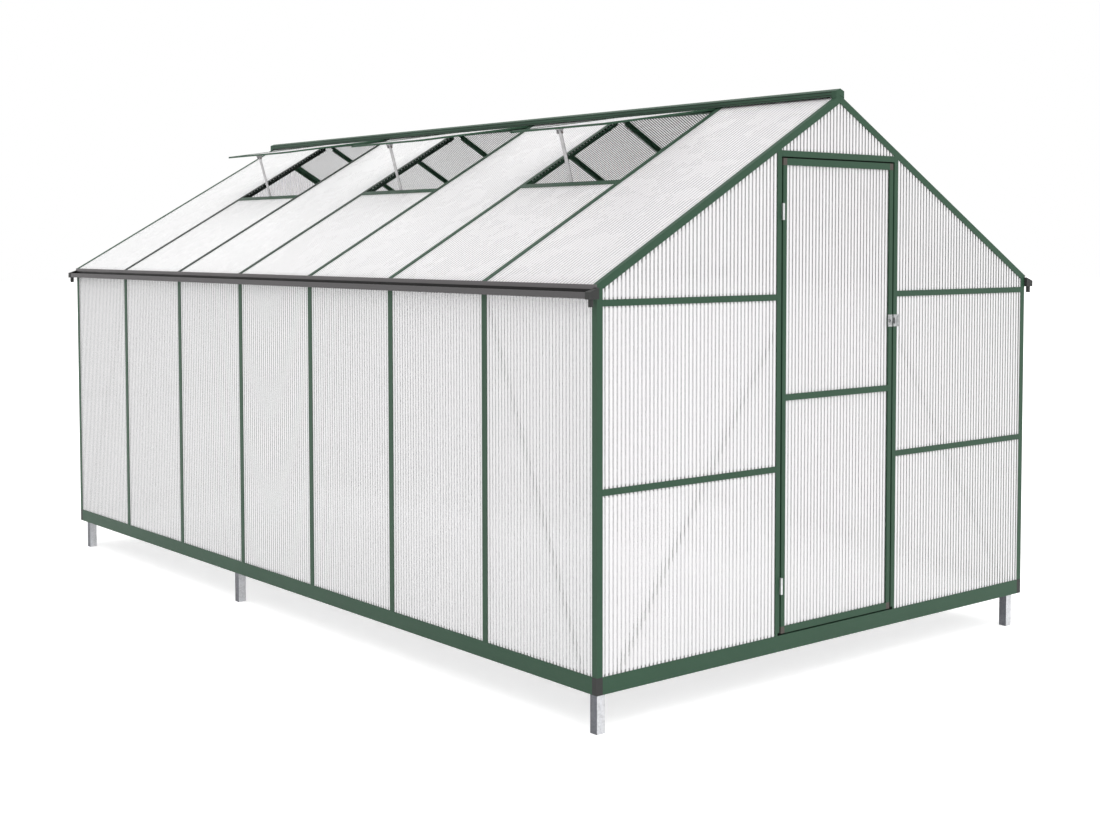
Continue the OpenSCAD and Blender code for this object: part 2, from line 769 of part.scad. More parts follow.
module roof_sheets_left() color(clear_sheet) for (b = [1:bay_count])
    roof_sheet(b, has_vent(b) ? sill_run + sheet_edge : sheet_ridge_x);

module roof_sheets_right() color(clear_sheet) mirror([1, 0, 0]) for (b = [1:bay_count])
    roof_sheet(b, sheet_ridge_x);

// ---- Vents

// A bar across the bay that holds the lower sheet's edge and that the vent closes on
module vent_sill(b) {
    face = sill_face / 2;
    outer_y = [bay_y(b - 1) + roof_face / 2 + fit, bay_y(b) - roof_face / 2 - fit];
    inner_y = [outer_y[0] + ledge_show, outer_y[1] - ledge_show];
    slope_slab([sill_run + face, sill_run - face], [0, bar_t], outer_y);
    slope_slab([sill_run + web_half, sill_run - web_half], [0, rail_d], inner_y);
    slope_slab([sill_run + face + ledge_show, sill_run - face], [ledge_out, ledge_in], inner_y);
    slope_slab([sill_run - face + bar_t, sill_run - face], [0, ledge_in], inner_y);
}

module vent_sills() color(green) for (b = vent_bays) vent_sill(b);

function vent_y(b) = [bay_y(b - 1) + vent_side_gap, bay_y(b) - vent_side_gap];
function vent_mid(b) = (bay_y(b - 1) + bay_y(b)) / 2;

// From the vent's own frame, which runs down the slope along -X from its hinge with +Z out
module on_vent() translate([vent_hinge_x, 0, vent_hinge_z]) rotate([0, -vent_slope, 0]) children();

// Section of a frame bar: X across it towards the sheet, Y downward from its top
module vent_bar_section()
    difference() {
        translate([0, -vent_t]) square([vent_face, vent_t]);
        translate([vent_face - vent_slot, -vent_t / 2 - sheet_t / 2 - fit])
            square([vent_slot + bite, sheet_t + 2 * fit]);
    }

module vent_side_bars() color(green) for (b = vent_bays) on_vent()
    for (flip = [0, 1])
        translate([-vent_len, vent_mid(b), 0]) mirror([0, flip, 0])
            translate([0, -(vent_y(b)[1] - vent_y(b)[0]) / 2, 0])
                rotate([90, 0, 90]) linear_extrude(height = vent_len) vent_bar_section();

module vent_cross_bars() color(green) for (b = vent_bays) on_vent()
    for (flip = [0, 1])
        translate([-vent_len / 2, 0, 0]) mirror([flip, 0, 0])
            translate([-vent_len / 2, vent_y(b)[1] - vent_face - fit, 0])
                rotate([90, 0, 0])
                    linear_extrude(height = vent_y(b)[1] - vent_y(b)[0] - 2 * (vent_face + fit))
                        vent_bar_section();

module vent_sheets() color(clear_sheet) {
    edge = vent_face - vent_slot + edge_gap;
    for (b = vent_bays) on_vent()
        box([-vent_len + edge, -edge], [vent_y(b)[0] + edge, vent_y(b)[1] - edge],
            [-vent_t / 2 - sheet_t / 2, -vent_t / 2 + sheet_t / 2]);
}

// A prop from a plate under the vent's lower bar to a plate on the sill's upper edge
module vent_stay(b) {
    y = [vent_mid(b) - stay_w / 2, vent_mid(b) + stay_w / 2];
    plate_y = [y[0] - stay_plate_past, y[1] + stay_plate_past];
    down = vent_t + fit;
    run = vent_len - stay_back;
    top = [vent_hinge_x - run * cos(vent_slope) + (down + bite) * sin(vent_slope),
           vent_hinge_z - run * sin(vent_slope) - (down + bite) * cos(vent_slope)];
    foot_x = sill_run - sill_face / 2 - fit - stay_t;
    foot = [-foot_x, roof_z(foot_x, stay_t)];
    lean = atan2(top[0] - foot[0], top[1] - foot[1]);
    side = [cos(lean) * stay_t / 2, -sin(lean) * stay_t / 2];
    across(y) polygon([foot - side, foot + side, top + side, top - side]);
    on_vent() box([-run - stay_plate_len / 2, -run + stay_plate_len / 2], plate_y,
                  [-down - stay_t, -down]);
    slope_slab([foot_x + stay_t, foot_x], [0, stay_foot_len], plate_y);
}

module vent_stays() color(zinc) for (b = vent_bays) vent_stay(b);

// ---- Braces: flat strips against the inner edge of the bars

// A strip in a wall along X, from a foot on the base's inner edge up to a head on a bar's
module brace(foot, head) {
    along = head - foot;
    lean = atan2(bar_d - base_d, norm(along));
    intersection() {
        translate([foot[0], base_d + fit, foot[1]])
            rotate([0, -atan2(along[1], along[0]), 0]) rotate([0, 0, lean])
                translate([-brace_w, 0, -brace_w / 2])
                    cube([norm(along) / cos(lean) + brace_w, bar_t, brace_w]);
        box([-house_l, house_l], [0, 2 * (bar_d + base_d)], [brace_low, eave_z + eave_h]);
    }
}

module end_braces() translate([0, -half_l, 0]) {
    head_z = base_z + brace_top_h;
    brace([-half_w + brace_foot_in, brace_low], [jamb_xs[0], head_z]);
    brace([half_w - brace_foot_in, brace_low], [jamb_xs[1], head_z]);
}

module front_braces() color(green) end_braces();
module back_braces() color(green) mirror([0, 1, 0]) end_braces();

module side_braces() color(green) both_sides() both_ends()
    translate([-half_w, 0, 0]) mirror([1, -1, 0])
        brace([-half_l + side_brace_foot, brace_low], [bay_y(1), gutter_z - brace_w]);

// ---- Door

// Section of a door bar: X across it towards the sheet, Y inward, with the sheet's slot
module door_bar_section(face)
    difference() {
        square([face, door_t]);
        translate([face - leaf_slot, door_t / 2 - sheet_t / 2 - fit])
            square([leaf_slot + bite, sheet_t + 2 * fit]);
    }

module door_stiles() color(green) {
    height = leaf_z[1] - leaf_z[0] - 2 * (door_rail_face + fit);
    for (flip = [0, 1])
        translate([(leaf_x[0] + leaf_x[1]) / 2, leaf_y[0], leaf_z[0] + door_rail_face + fit])
            mirror([flip, 0, 0]) translate([(leaf_x[0] - leaf_x[1]) / 2, 0, 0])
                linear_extrude(height = height) door_bar_section(stile_face);
}

module door_rail_along(z, flip)
    translate([leaf_x[0] + stile_face + fit, leaf_y[0], z]) mirror([0, 0, flip])
        rotate([90, 0, 90]) linear_extrude(height = leaf_x[1] - leaf_x[0] - 2 * (stile_face + fit))
            mirror([1, -1, 0]) door_bar_section(door_rail_face);

module door_rails() color(green) {
    door_rail_along(leaf_z[0], 0);
    door_rail_along(leaf_z[1], 1);
    difference() {
        box([leaf_x[0] + stile_face + fit, leaf_x[1] - stile_face - fit], leaf_y,
            [door_mid_z - door_mid_face / 2, door_mid_z + door_mid_face / 2]);
        for (side = [-1, 1])
            translate([0, 0, door_mid_z + side * (door_mid_face / 2)])
                box([leaf_x[0], leaf_x[1]],
                    [leaf_sheet_y - sheet_t / 2 - fit, leaf_sheet_y + sheet_t / 2 + fit],
                    [-leaf_slot, leaf_slot]);
    }
}

module door_corners() color(dark_plastic) difference() {
    for (x = [leaf_x[0], leaf_x[1] - stile_face], z = [leaf_z[0], leaf_z[1] - door_rail_face])
        translate([x, leaf_y[0], z]) cube([stile_face, door_t, door_rail_face]);
    box([leaf_x[0] + stile_face - leaf_slot, leaf_x[1] - stile_face + leaf_slot],
        [leaf_sheet_y - sheet_t / 2 - fit, leaf_sheet_y + sheet_t / 2 + fit],
        [leaf_z[0] + door_rail_face - leaf_slot, leaf_z[1] - door_rail_face + leaf_slot]);
}

module door_sheets() color(clear_sheet) {
    x = [leaf_x[0] + stile_face - leaf_slot + edge_gap,
         leaf_x[1] - stile_face + leaf_slot - edge_gap];
    y = [leaf_sheet_y - sheet_t / 2, leaf_sheet_y + sheet_t / 2];
    low = leaf_z[0] + door_rail_face + edge_gap;
    high = leaf_z[1] - door_rail_face - edge_gap;
    mid = door_mid_face / 2 - leaf_slot + edge_gap;
    box(x, y, [low - leaf_slot + 2 * edge_gap, door_mid_z - mid]);
    box(x, y, [door_mid_z + mid, high + leaf_slot - 2 * edge_gap]);
}

// ---- Door hardware

// The stretches of a hinge that the door's knuckles take, and the frame's between them
hinge_split = hinge_len / 6;
door_knuckles = [[-hinge_len / 2, -hinge_split - fit], [hinge_split + fit, hinge_len / 2]];
frame_knuckle = [-hinge_split, hinge_split];

// A knuckle with a tab running inward along the side of the gap, out to x from the pin
module knuckle(z, x) {
    translate([0, 0, z[0]]) cylinder(h = z[1] - z[0], d = knuckle_d);
    box(x, [0, hinge_leaf_in], z);
}

module door_hinges() color(zinc) for (z = hinge_zs)
    translate([hinge_x, hinge_y, z]) difference() {
        tab_x = [leaf_x[0] - fit - hinge_leaf_t - hinge_x, leaf_x[0] - fit - hinge_x];
        union() {
            for (part = door_knuckles) knuckle(part, tab_x);
            box(tab_x, [knuckle_d / 2 + fit, hinge_leaf_in], [-hinge_len / 2, hinge_len / 2]);
        }
        translate([0, 0, -hinge_len]) cylinder(h = 2 * hinge_len, d = pin_d + 2 * pin_clearance);
    }

module hinge_leaves() color(zinc) for (z = hinge_zs)
    translate([hinge_x, hinge_y, z]) {
        tab_x = [door_left_in + fit - hinge_x, door_left_in + fit + hinge_leaf_t - hinge_x];
        knuckle(frame_knuckle, tab_x);
        box(tab_x, [knuckle_d / 2 + fit, hinge_leaf_in], [-hinge_len / 2, hinge_len / 2]);
        translate([0, 0, -hinge_len / 2]) cylinder(h = hinge_len, d = pin_d);
    }

// A plate on the door's stile with a turn knob on its boss
module door_latch() color(zinc) {
    y = -half_l - fit;
    box([leaf_x[1] - latch_w, leaf_x[1]], [y - latch_t, y],
        [latch_z - latch_plate_h / 2, latch_z + latch_plate_h / 2]);
    translate([leaf_x[1] - latch_w / 2, y - latch_t + bite, latch_z]) rotate([90, 0, 0]) {
        cylinder(h = boss_t + bite, d = boss_d);
        cylinder(h = knob_t + bite, d = knob_d);
    }
}

// The plate beside it on the jamb, with the rib that the hand closes against
module latch_keeper() color(zinc) {
    x0 = leaf_x[1] + keeper_gap;
    y = -half_l - fit;
    box([x0, x0 + keeper_w], [y - latch_t, y],
        [latch_z - latch_plate_h / 2, latch_z + latch_plate_h / 2]);
    box([x0 + rib_in, x0 + rib_in + rib_w], [y - latch_t - rib_t, y - latch_t + bite],
        [latch_z - latch_plate_h / 4, latch_z + latch_plate_h / 4]);
}

base_front();
base_back();
base_sides();
base_corners();
ground_stakes();
corner_posts();
side_posts();
door_jambs();
door_header();
front_rails();
back_studs();
back_rails();
gable_bars();
roof_bars_left();
roof_bars_right();
ridge_beam();
ridge_end_caps();
eave_bars();
gutter_floors();
gutter_lips();
gutter_end_caps();
left_wall_sheets();
right_wall_sheets();
front_wall_sheets();
back_wall_sheets();
roof_sheets_left();
roof_sheets_right();
vent_sills();
vent_side_bars();
vent_cross_bars();
vent_sheets();
vent_stays();
front_braces();
back_braces();
side_braces();
hinge_leaves();
latch_keeper();
door_stiles();
door_rails();
door_corners();
door_sheets();
door_hinges();
door_latch();
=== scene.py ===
import math

import bmesh
import bpy
from mathutils import Matrix, Vector


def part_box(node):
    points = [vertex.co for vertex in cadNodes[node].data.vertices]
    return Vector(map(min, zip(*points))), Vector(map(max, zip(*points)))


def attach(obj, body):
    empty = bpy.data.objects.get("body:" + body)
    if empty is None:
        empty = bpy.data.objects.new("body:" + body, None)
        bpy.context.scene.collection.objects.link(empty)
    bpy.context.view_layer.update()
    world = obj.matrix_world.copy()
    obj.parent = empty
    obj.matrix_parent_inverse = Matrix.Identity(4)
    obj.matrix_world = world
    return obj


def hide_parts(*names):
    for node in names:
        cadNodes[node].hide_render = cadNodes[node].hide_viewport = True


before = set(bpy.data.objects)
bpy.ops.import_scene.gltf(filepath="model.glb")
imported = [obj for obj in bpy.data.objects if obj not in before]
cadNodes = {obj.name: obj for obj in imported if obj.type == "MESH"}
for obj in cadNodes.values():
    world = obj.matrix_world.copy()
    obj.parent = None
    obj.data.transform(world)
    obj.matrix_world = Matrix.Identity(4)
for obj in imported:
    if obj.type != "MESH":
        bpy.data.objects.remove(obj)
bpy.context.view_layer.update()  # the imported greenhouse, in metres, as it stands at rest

scene = bpy.context.scene
scene.view_settings.view_transform = "Standard"
weldGap = 0.00001  # corners nearer than this are one corner
sameLine = 0.0005  # places nearer than this are on one line


def hexColor(code):  # sRGB hex to the linear colour that the shaders work in
    parts = [int(code[i:i + 2], 16) / 255 for i in (1, 3, 5)]
    return [c / 12.92 if c <= 0.04045 else ((c + 0.055) / 1.055) ** 2.4 for c in parts] + [1.0]


def addNode(tree, kind, settings=None, inputs=None):  # settings by name, inputs by name or number
    node = tree.nodes.new(kind)
    for name, value in (settings or {}).items():
        setattr(node, name, value)
    for name, value in (inputs or {}).items():
        if isinstance(value, bpy.types.NodeSocket):
            tree.links.new(value, node.inputs[name])
        else:
            node.inputs[name].default_value = value
    return node


def startMaterial(name):
    material = bpy.data.materials.new(name)
    material.use_nodes = True
    material.node_tree.nodes.clear()
    return material, material.node_tree


# The camera, at eye height off the front left corner
view = {"place": (-4.4339, -5.9854, 1.6118), "turn": (87.1396, 0, -40.2773), "lens": 50.98,
        "sensor": 36, "shift": (-0.0428, -0.0823), "farthest": 200}
camera = bpy.data.objects.new("camera", bpy.data.cameras.new("camera"))
camera.location = view["place"]
camera.rotation_euler = [math.radians(a) for a in view["turn"]]
camera.data.sensor_width = view["sensor"]
camera.data.lens = view["lens"]
camera.data.shift_x, camera.data.shift_y = view["shift"]
camera.data.clip_end = view["farthest"]
scene.collection.objects.link(camera)
scene.camera = camera
print("camera set")

# Materials: their patterns follow Object coordinates, and their sizes are in metres. A pair of
# roughnesses is that of the clean and the hazy places.
bandEdge = {"whole": 0.6, "gone": 1.2}  # shares of a band's half width


def bandAt(tree, height, middle, half):  # 1 within a level band of heights, 0 outside it
    away = addNode(tree, "ShaderNodeMath", {"operation": "SUBTRACT"}, {0: height, 1: middle})
    away = addNode(tree, "ShaderNodeMath", {"operation": "ABSOLUTE"}, {0: away.outputs[0]})
    return addNode(tree, "ShaderNodeMapRange", {"interpolation_type": "SMOOTHSTEP"}, {
        "Value": away.outputs[0], "From Min": bandEdge["whole"] * half,
        "From Max": bandEdge["gone"] * half, "To Min": 1.0, "To Max": 0.0}).outputs[0]


def shareAlong(tree, place, far):
    # Rises from 0 to 1 along a level line over the ground: far has the weights of X and Y,
    # where the rise starts and where it ends.
    at = addNode(tree, "ShaderNodeSeparateXYZ", inputs={"Vector": place}).outputs
    across = addNode(tree, "ShaderNodeMath", {"operation": "MULTIPLY"}, {0: at["X"], 1: far["x"]})
    away = addNode(tree, "ShaderNodeMath", {"operation": "MULTIPLY_ADD"}, {
        0: at["Y"], 1: far["y"], 2: across.outputs[0]})
    return addNode(tree, "ShaderNodeMapRange", inputs={
        "Value": away.outputs[0], "From Min": far["start"], "From Max": far["end"],
        "To Min": 0.0, "To Max": 1.0}).outputs[0]


def greenPowderCoat(look):
    # Polyester powder coat baked on drawn aluminium: satin, a little uneven in tone, with a fine
    # orange peel that softens what it mirrors and a trace of dust that lifts the colour.
    material, tree = startMaterial(look["name"])
    place = addNode(tree, "ShaderNodeTexCoord").outputs["Object"]
    batch = addNode(tree, "ShaderNodeTexNoise", inputs={
        "Vector": place, "Scale": 1 / look["batchSize"], "Detail": 3.0})
    tone = addNode(tree, "ShaderNodeMix", {"data_type": "RGBA"}, {
        "Factor": batch.outputs["Fac"], "A": hexColor(look["dark"]), "B": hexColor(look["light"])})
    dust = addNode(tree, "ShaderNodeTexNoise", inputs={
        "Vector": place, "Scale": 1 / look["dustSize"], "Detail": 6.0, "Roughness": 0.7})
    dusty = addNode(tree, "ShaderNodeMapRange", inputs={
        "Value": dust.outputs["Fac"], "From Min": 0.5, "From Max": 0.8,
        "To Min": 0.0, "To Max": look["dustShare"]})
    colour = addNode(tree, "ShaderNodeMix", {"data_type": "RGBA"}, {
        "Factor": dusty.outputs[0], "A": tone.outputs["Result"], "B": hexColor(look["dust"])})
    clean, hazy = look["roughness"]
    sheen = addNode(tree, "ShaderNodeMapRange", inputs={
        "Value": dust.outputs["Fac"], "From Min": 0.2, "From Max": 0.8,
        "To Min": clean, "To Max": hazy})
    peel = addNode(tree, "ShaderNodeTexNoise", inputs={
        "Vector": place, "Scale": 1 / look["peelSize"], "Detail": 1.0})
    relief = addNode(tree, "ShaderNodeBump", inputs={
        "Height": peel.outputs["Fac"], "Strength": look["peelStrength"],
        "Distance": look["peelDepth"]})
    if "far" in look:  # painted shade: bars that darken from the front to the back
        colour = addNode(tree, "ShaderNodeMix", {"data_type": "RGBA"}, {
            "Factor": shareAlong(tree, place, look["far"]), "A": colour.outputs["Result"],
            "B": hexColor(look["far"]["tone"])})
    height = addNode(tree, "ShaderNodeSeparateXYZ", inputs={"Vector": place}).outputs["Z"]
    for middle in look["grooves"]:  # painted shade: a dark line at each groove, where shadow falls in it
        colour = addNode(tree, "ShaderNodeMix", {"data_type": "RGBA"}, {
            "Factor": bandAt(tree, height, middle, look["shadeLineHalf"]),
            "A": colour.outputs["Result"], "B": hexColor(look["shadeLineTone"])})
    paint = addNode(tree, "ShaderNodeBsdfPrincipled", inputs={
        "Base Color": colour.outputs["Result"], "Roughness": sheen.outputs[0],
        "Specular IOR Level": look["specular"], "Normal": relief.outputs[0]})
    addNode(tree, "ShaderNodeOutputMaterial", inputs={"Surface": paint.outputs[0]})
    return material


coatLook = {"name": "greenPowderCoat", "dark": "#264432", "light": "#2E4F3A", "batchSize": 0.35,
            "dust": "#4E6156", "dustShare": 0.15, "dustSize": 0.04, "roughness": (0.45, 0.58),
            "specular": 0.3, "peelSize": 0.003, "peelDepth": 0.0003, "peelStrength": 0.25,
            "grooves": [], "shadeLineHalf": 0.0016, "shadeLineTone": "#101B15"}
ridgeLook = {"hood": 0.031,  # height of the hood, from its lower edge to the ridge's top
             "lines": (0.007, 0.018, 0.0)}  # its grooves, above the lower edge, each with a painted shadow line
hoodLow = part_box("ridge_beam")[1].z - ridgeLook["hood"]
coat = greenPowderCoat(coatLook)  # the satin dark green of nearly all bars
ridgeCoat = greenPowderCoat({**coatLook, "name": "greenRidgeCoat",  # with painted shadow lines along it
                             "grooves": [hoodLow + up for up in ridgeLook["lines"]]})
roofCoat = greenPowderCoat({**coatLook, "name": "greenRoofBarCoatShadedBack",  # painted shade, nearly black at the back
                            "far": {"x": 0.0, "y": 1.0, "start": -1.0, "end": 1.2,
                                    "tone": "#1C2821"}})


def grainyFinish(look):
    # Glass-filled nylon from a spark-eroded mould, sprayed paint and extruded rubber: a dull, even
    # grain and a slight bloom. The real grain is finer, and is drawn as coarse as it needs to show.
    material, tree = startMaterial(look["name"])
    place = addNode(tree, "ShaderNodeTexCoord").outputs["Object"]
    bloom = addNode(tree, "ShaderNodeTexNoise", inputs={
        "Vector": place, "Scale": 1 / look["bloomSize"], "Detail": 4.0, "Roughness": 0.6})
    colour = addNode(tree, "ShaderNodeMix", {"data_type": "RGBA"}, {
        "Factor": bloom.outputs["Fac"], "A": hexColor(look["dark"]), "B": hexColor(look["light"])})
    if "troughShade" in look:  # painted shade in a trough, up to a level line
        height = addNode(tree, "ShaderNodeSeparateXYZ", inputs={"Vector": place}).outputs["Z"]
        troughShade = addNode(tree, "ShaderNodeMapRange", inputs={
            "Value": height, "From Min": look["troughShadeTop"] - look["troughShadeEdge"],
            "From Max": look["troughShadeTop"], "To Min": 1.0, "To Max": 0.0})
        colour = addNode(tree, "ShaderNodeMix", {"data_type": "RGBA"}, {
            "Factor": troughShade.outputs[0], "A": colour.outputs["Result"], "B": hexColor(look["troughShade"])})
    grain = addNode(tree, "ShaderNodeTexVoronoi", inputs={
        "Vector": place, "Scale": 1 / look["grainSize"]})
    relief = addNode(tree, "ShaderNodeBump", inputs={
        "Height": grain.outputs["Distance"], "Strength": look["grainStrength"],
        "Distance": look["grainDepth"]})
    clean, hazy = look["roughness"]
    sheen = addNode(tree, "ShaderNodeMapRange", inputs={
        "Value": bloom.outputs["Fac"], "From Min": 0.3, "From Max": 0.7,
        "To Min": clean, "To Max": hazy})
    plastic = addNode(tree, "ShaderNodeBsdfPrincipled", inputs={
        "Base Color": colour.outputs["Result"], "Roughness": sheen.outputs[0],
        "Specular IOR Level": look["specular"], "Normal": relief.outputs[0]})
    addNode(tree, "ShaderNodeOutputMaterial", inputs={"Surface": plastic.outputs[0]})
    return material


nylonLook = {"name": "charcoalNylon", "dark": "#2B2C2B", "light": "#3A3B3A", "bloomSize": 0.02,
             "grainSize": 0.0015, "grainDepth": 0.0002, "grainStrength": 0.3,
             "roughness": (0.55, 0.67), "specular": 0.3}
paintLook = {**nylonLook, "name": "greyGutterPaint", "dark": "#484647", "light": "#545253",
             "bloomSize": 0.12, "grainSize": 0.002, "roughness": (0.42, 0.54)}
gutterLook = {"stripLow": 0.031}  # the strip over the gutter starts this high above its floor
charcoalNylon = grainyFinish(nylonLook)  # dull and nearly black
brownNylon = grainyFinish({**nylonLook, "name": "brownGreyNylon",  # dull, a warm dark grey
                           "dark": "#46413C", "light": "#544E49", "bloomSize": 0.015,
                           "roughness": (0.5, 0.62)})
lipPaint = grainyFinish(paintLook)  # an even mid grey along the gutter's outer lip
eavePaint = grainyFinish({**paintLook, "name": "greyEavePaint",  # a lighter strip over the trough, with painted shade below it
                          "dark": "#605D5E", "light": "#6B6869", "troughShade": "#1E1D1D",
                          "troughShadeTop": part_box("gutter_floors")[0].z + gutterLook["stripLow"],
                          "troughShadeEdge": 0.001})
troughShadePaint = grainyFinish({**paintLook, "name": "shadedGutterPaint",  # painted shade: the trough's inside, near black
                            "dark": "#1C1B1B", "light": "#2C2A2A", "bloomSize": 0.06,
                            "roughness": (0.6, 0.72)})
gapShadeRubber = grainyFinish({**nylonLook, "name": "blackDoorGapShade",  # painted shade: black, with hardly any gloss, in the door's gaps
                           "dark": "#0E0F0E", "light": "#191A19", "grainSize": 0.001,
                           "roughness": (0.7, 0.82)})


def spangledMetal(look):
    # Dipped, plated and bare metal: crystals that froze at different angles, so each catches the
    # light its own way, under a thin haze of oxide.
    material, tree = startMaterial(look["name"])
    place = addNode(tree, "ShaderNodeTexCoord").outputs["Object"]
    spangle = addNode(tree, "ShaderNodeTexVoronoi", inputs={
        "Vector": place, "Scale": 1 / look["spangleSize"], "Randomness": 1.0})
    crystal = addNode(tree, "ShaderNodeSeparateColor", inputs={"Color": spangle.outputs["Color"]})
    haze = addNode(tree, "ShaderNodeTexNoise", inputs={
        "Vector": place, "Scale": 1 / (look["hazeSpan"] * look["spangleSize"]), "Detail": 4.0})
    share = addNode(tree, "ShaderNodeMath", {"operation": "MULTIPLY_ADD"}, {
        0: crystal.outputs["Red"], 1: look["contrast"], 2: haze.outputs["Fac"]})
    colour = addNode(tree, "ShaderNodeMix", {"data_type": "RGBA"}, {
        "Factor": share.outputs[0], "A": hexColor(look["dark"]), "B": hexColor(look["light"])})
    if "sideShade" in look:  # painted shade on the two faces across the house
        facing = addNode(tree, "ShaderNodeSeparateXYZ", inputs={
            "Vector": addNode(tree, "ShaderNodeNewGeometry").outputs["True Normal"]})
        shadedSide = addNode(tree, "ShaderNodeMath", {"operation": "ABSOLUTE"}, {0: facing.outputs["X"]})
        shadedSide = addNode(tree, "ShaderNodeMath", {"operation": "GREATER_THAN"}, {
            0: shadedSide.outputs[0], 1: look["sideShadeFrom"]})
        dull = addNode(tree, "ShaderNodeMix", {"data_type": "RGBA", "blend_type": "MULTIPLY"}, {
            "Factor": 1.0, "A": colour.outputs["Result"], "B": hexColor(look["sideShade"])})
        colour = addNode(tree, "ShaderNodeMix", {"data_type": "RGBA"}, {
            "Factor": shadedSide.outputs[0], "A": colour.outputs["Result"], "B": dull.outputs["Result"]})
    clean, hazy = look["roughness"]
    sheen = addNode(tree, "ShaderNodeMapRange", inputs={
        "Value": crystal.outputs["Green"], "From Min": 0.0, "From Max": 1.0,
        "To Min": clean, "To Max": hazy})
    relief = addNode(tree, "ShaderNodeBump", inputs={
        "Height": crystal.outputs["Blue"], "Strength": look["stepStrength"],
        "Distance": look["stepHeight"]})
    metal = addNode(tree, "ShaderNodeBsdfPrincipled", inputs={
        "Base Color": colour.outputs["Result"], "Metallic": look["metallic"],
        "Roughness": sheen.outputs[0], "Normal": relief.outputs[0]})
    addNode(tree, "ShaderNodeOutputMaterial", inputs={"Surface": metal.outputs[0]})
    return material


zincLook = {"name": "zincPlatedSteel", "dark": "#4A4C4E", "light": "#B2B4B4", "contrast": 0.6,
            "spangleSize": 0.0045, "hazeSpan": 4,  # the haze's size, in spangles
            "stepHeight": 0.0002, "stepStrength": 0.2, "roughness": (0.27, 0.45), "metallic": 0.9}
zincPlate = spangledMetal(zincLook)  # bright, with dark flecks
galvanised = spangledMetal({**zincLook, "name": "galvanisedSteel",  # pale and frosty, with painted shade on its faces across the house
                            "dark": "#A6A7AA", "light": "#CDCED1", "spangleSize": 0.006,
                            "roughness": (0.34, 0.52), "metallic": 0.85, "sideShade": "#898A8E",
                            "sideShadeFrom": 0.7})
bareAluminium = spangledMetal({**zincLook, "name": "bareAluminium",  # smooth and nearly white
                               "dark": "#C6C8C8", "light": "#DDDEDF", "spangleSize": 0.02,
                               "roughness": (0.3, 0.48)})
stayAluminium = spangledMetal({**zincLook, "name": "dullStayAluminium",  # an oxidised mid grey
                               "dark": "#9B9A9B", "light": "#B4B3B4", "spangleSize": 0.012,
                               "roughness": (0.37, 0.55), "metallic": 0.85})
boltSteel = spangledMetal({**zincLook, "name": "oiledBoltSteel",  # darker and a little brown
                           "dark": "#5E5A57", "light": "#8E8985", "spangleSize": 0.003,
                           "roughness": (0.32, 0.5)})


def polycarbonate(look):
    # Extruded twin-wall polycarbonate. The flutes' flats scatter light and let it through as
    # through milk glass; the ribs between them are clear and grey, and show what stands behind.
    material, tree = startMaterial(look["name"])
    place = addNode(tree, "ShaderNodeTexCoord").outputs["Object"]
    film = addNode(tree, "ShaderNodeTexNoise", inputs={
        "Vector": place, "Scale": 1 / look["filmSize"], "Detail": 5.0, "Roughness": 0.65})
    colour = addNode(tree, "ShaderNodeMix", {"data_type": "RGBA"}, {
        "Factor": film.outputs["Fac"], "A": hexColor(look["dark"]), "B": hexColor(look["light"])})
    glowShare = look["glow"]
    if "far" in look:  # painted light and shade that changes from one end of the house to the other
        share = shareAlong(tree, place, look["far"])
        colour = addNode(tree, "ShaderNodeMix", {"data_type": "RGBA"}, {
            "Factor": share, "A": colour.outputs["Result"], "B": hexColor(look["far"]["tone"])})
        if look["glow"]:
            glowShare = addNode(tree, "ShaderNodeMapRange", inputs={
                "Value": share, "To Min": look["glow"], "To Max": look["far"]["glow"]}).outputs[0]
    clean, hazy = look["roughness"]
    sheen = addNode(tree, "ShaderNodeMapRange", inputs={
        "Value": film.outputs["Fac"], "From Min": 0.3, "From Max": 0.7,
        "To Min": clean, "To Max": hazy})
    skin = addNode(tree, "ShaderNodeBsdfPrincipled", inputs={
        "Base Color": colour.outputs["Result"], "Roughness": sheen.outputs[0], "IOR": look["ior"],
        "Alpha": look["alpha"], "Transmission Weight": look["through"]})
    surface = skin.outputs[0]
    if look["glow"]:
        glow = addNode(tree, "ShaderNodeBsdfTranslucent", inputs={"Color": colour.outputs["Result"]})
        surface = addNode(tree, "ShaderNodeMixShader", inputs={
            0: glowShare, 1: surface, 2: glow.outputs[0]}).outputs[0]
    addNode(tree, "ShaderNodeOutputMaterial", inputs={"Surface": surface})
    return material


# Glow is the share of light that a skin passes on like milk glass, through is how clear it is.
flatLook = {"name": "milkyPolycarbonate", "dark": "#EDECED", "light": "#F3F2F3", "filmSize": 0.15,
            "roughness": (0.3, 0.4), "ior": 1.58, "alpha": 1.0, "glow": 0.1, "through": 0.0}
ribLook = {**flatLook, "name": "frostedPolycarbonateRib", "dark": "#DFDEE0", "light": "#E6E5E7",
           "roughness": (0.09, 0.19), "glow": 0, "through": 0.8}
opalLook = {**flatLook, "name": "opalPolycarbonate", "dark": "#FCFAFB", "light": "#FFFDFE",
            "glow": 0.5}
greyRibLook = {**flatLook, "name": "greyPolycarbonateRib", "dark": "#DAD7D9", "light": "#E2DFE1",
               "roughness": (0.22, 0.32), "alpha": 0.85, "glow": 0}
shadedInnerRibLook = {**flatLook, "name": "shadedInnerPolycarbonateRib", "dark": "#2E2E2E",
              "light": "#3A393A", "alpha": 0.95, "glow": 0}
# painted light on the roof, from its front to its back
roofFar = {"x": 0.0, "y": 1.0, "start": -1.7, "end": 0.9, "tone": "#FBFBFB", "glow": 0.37}

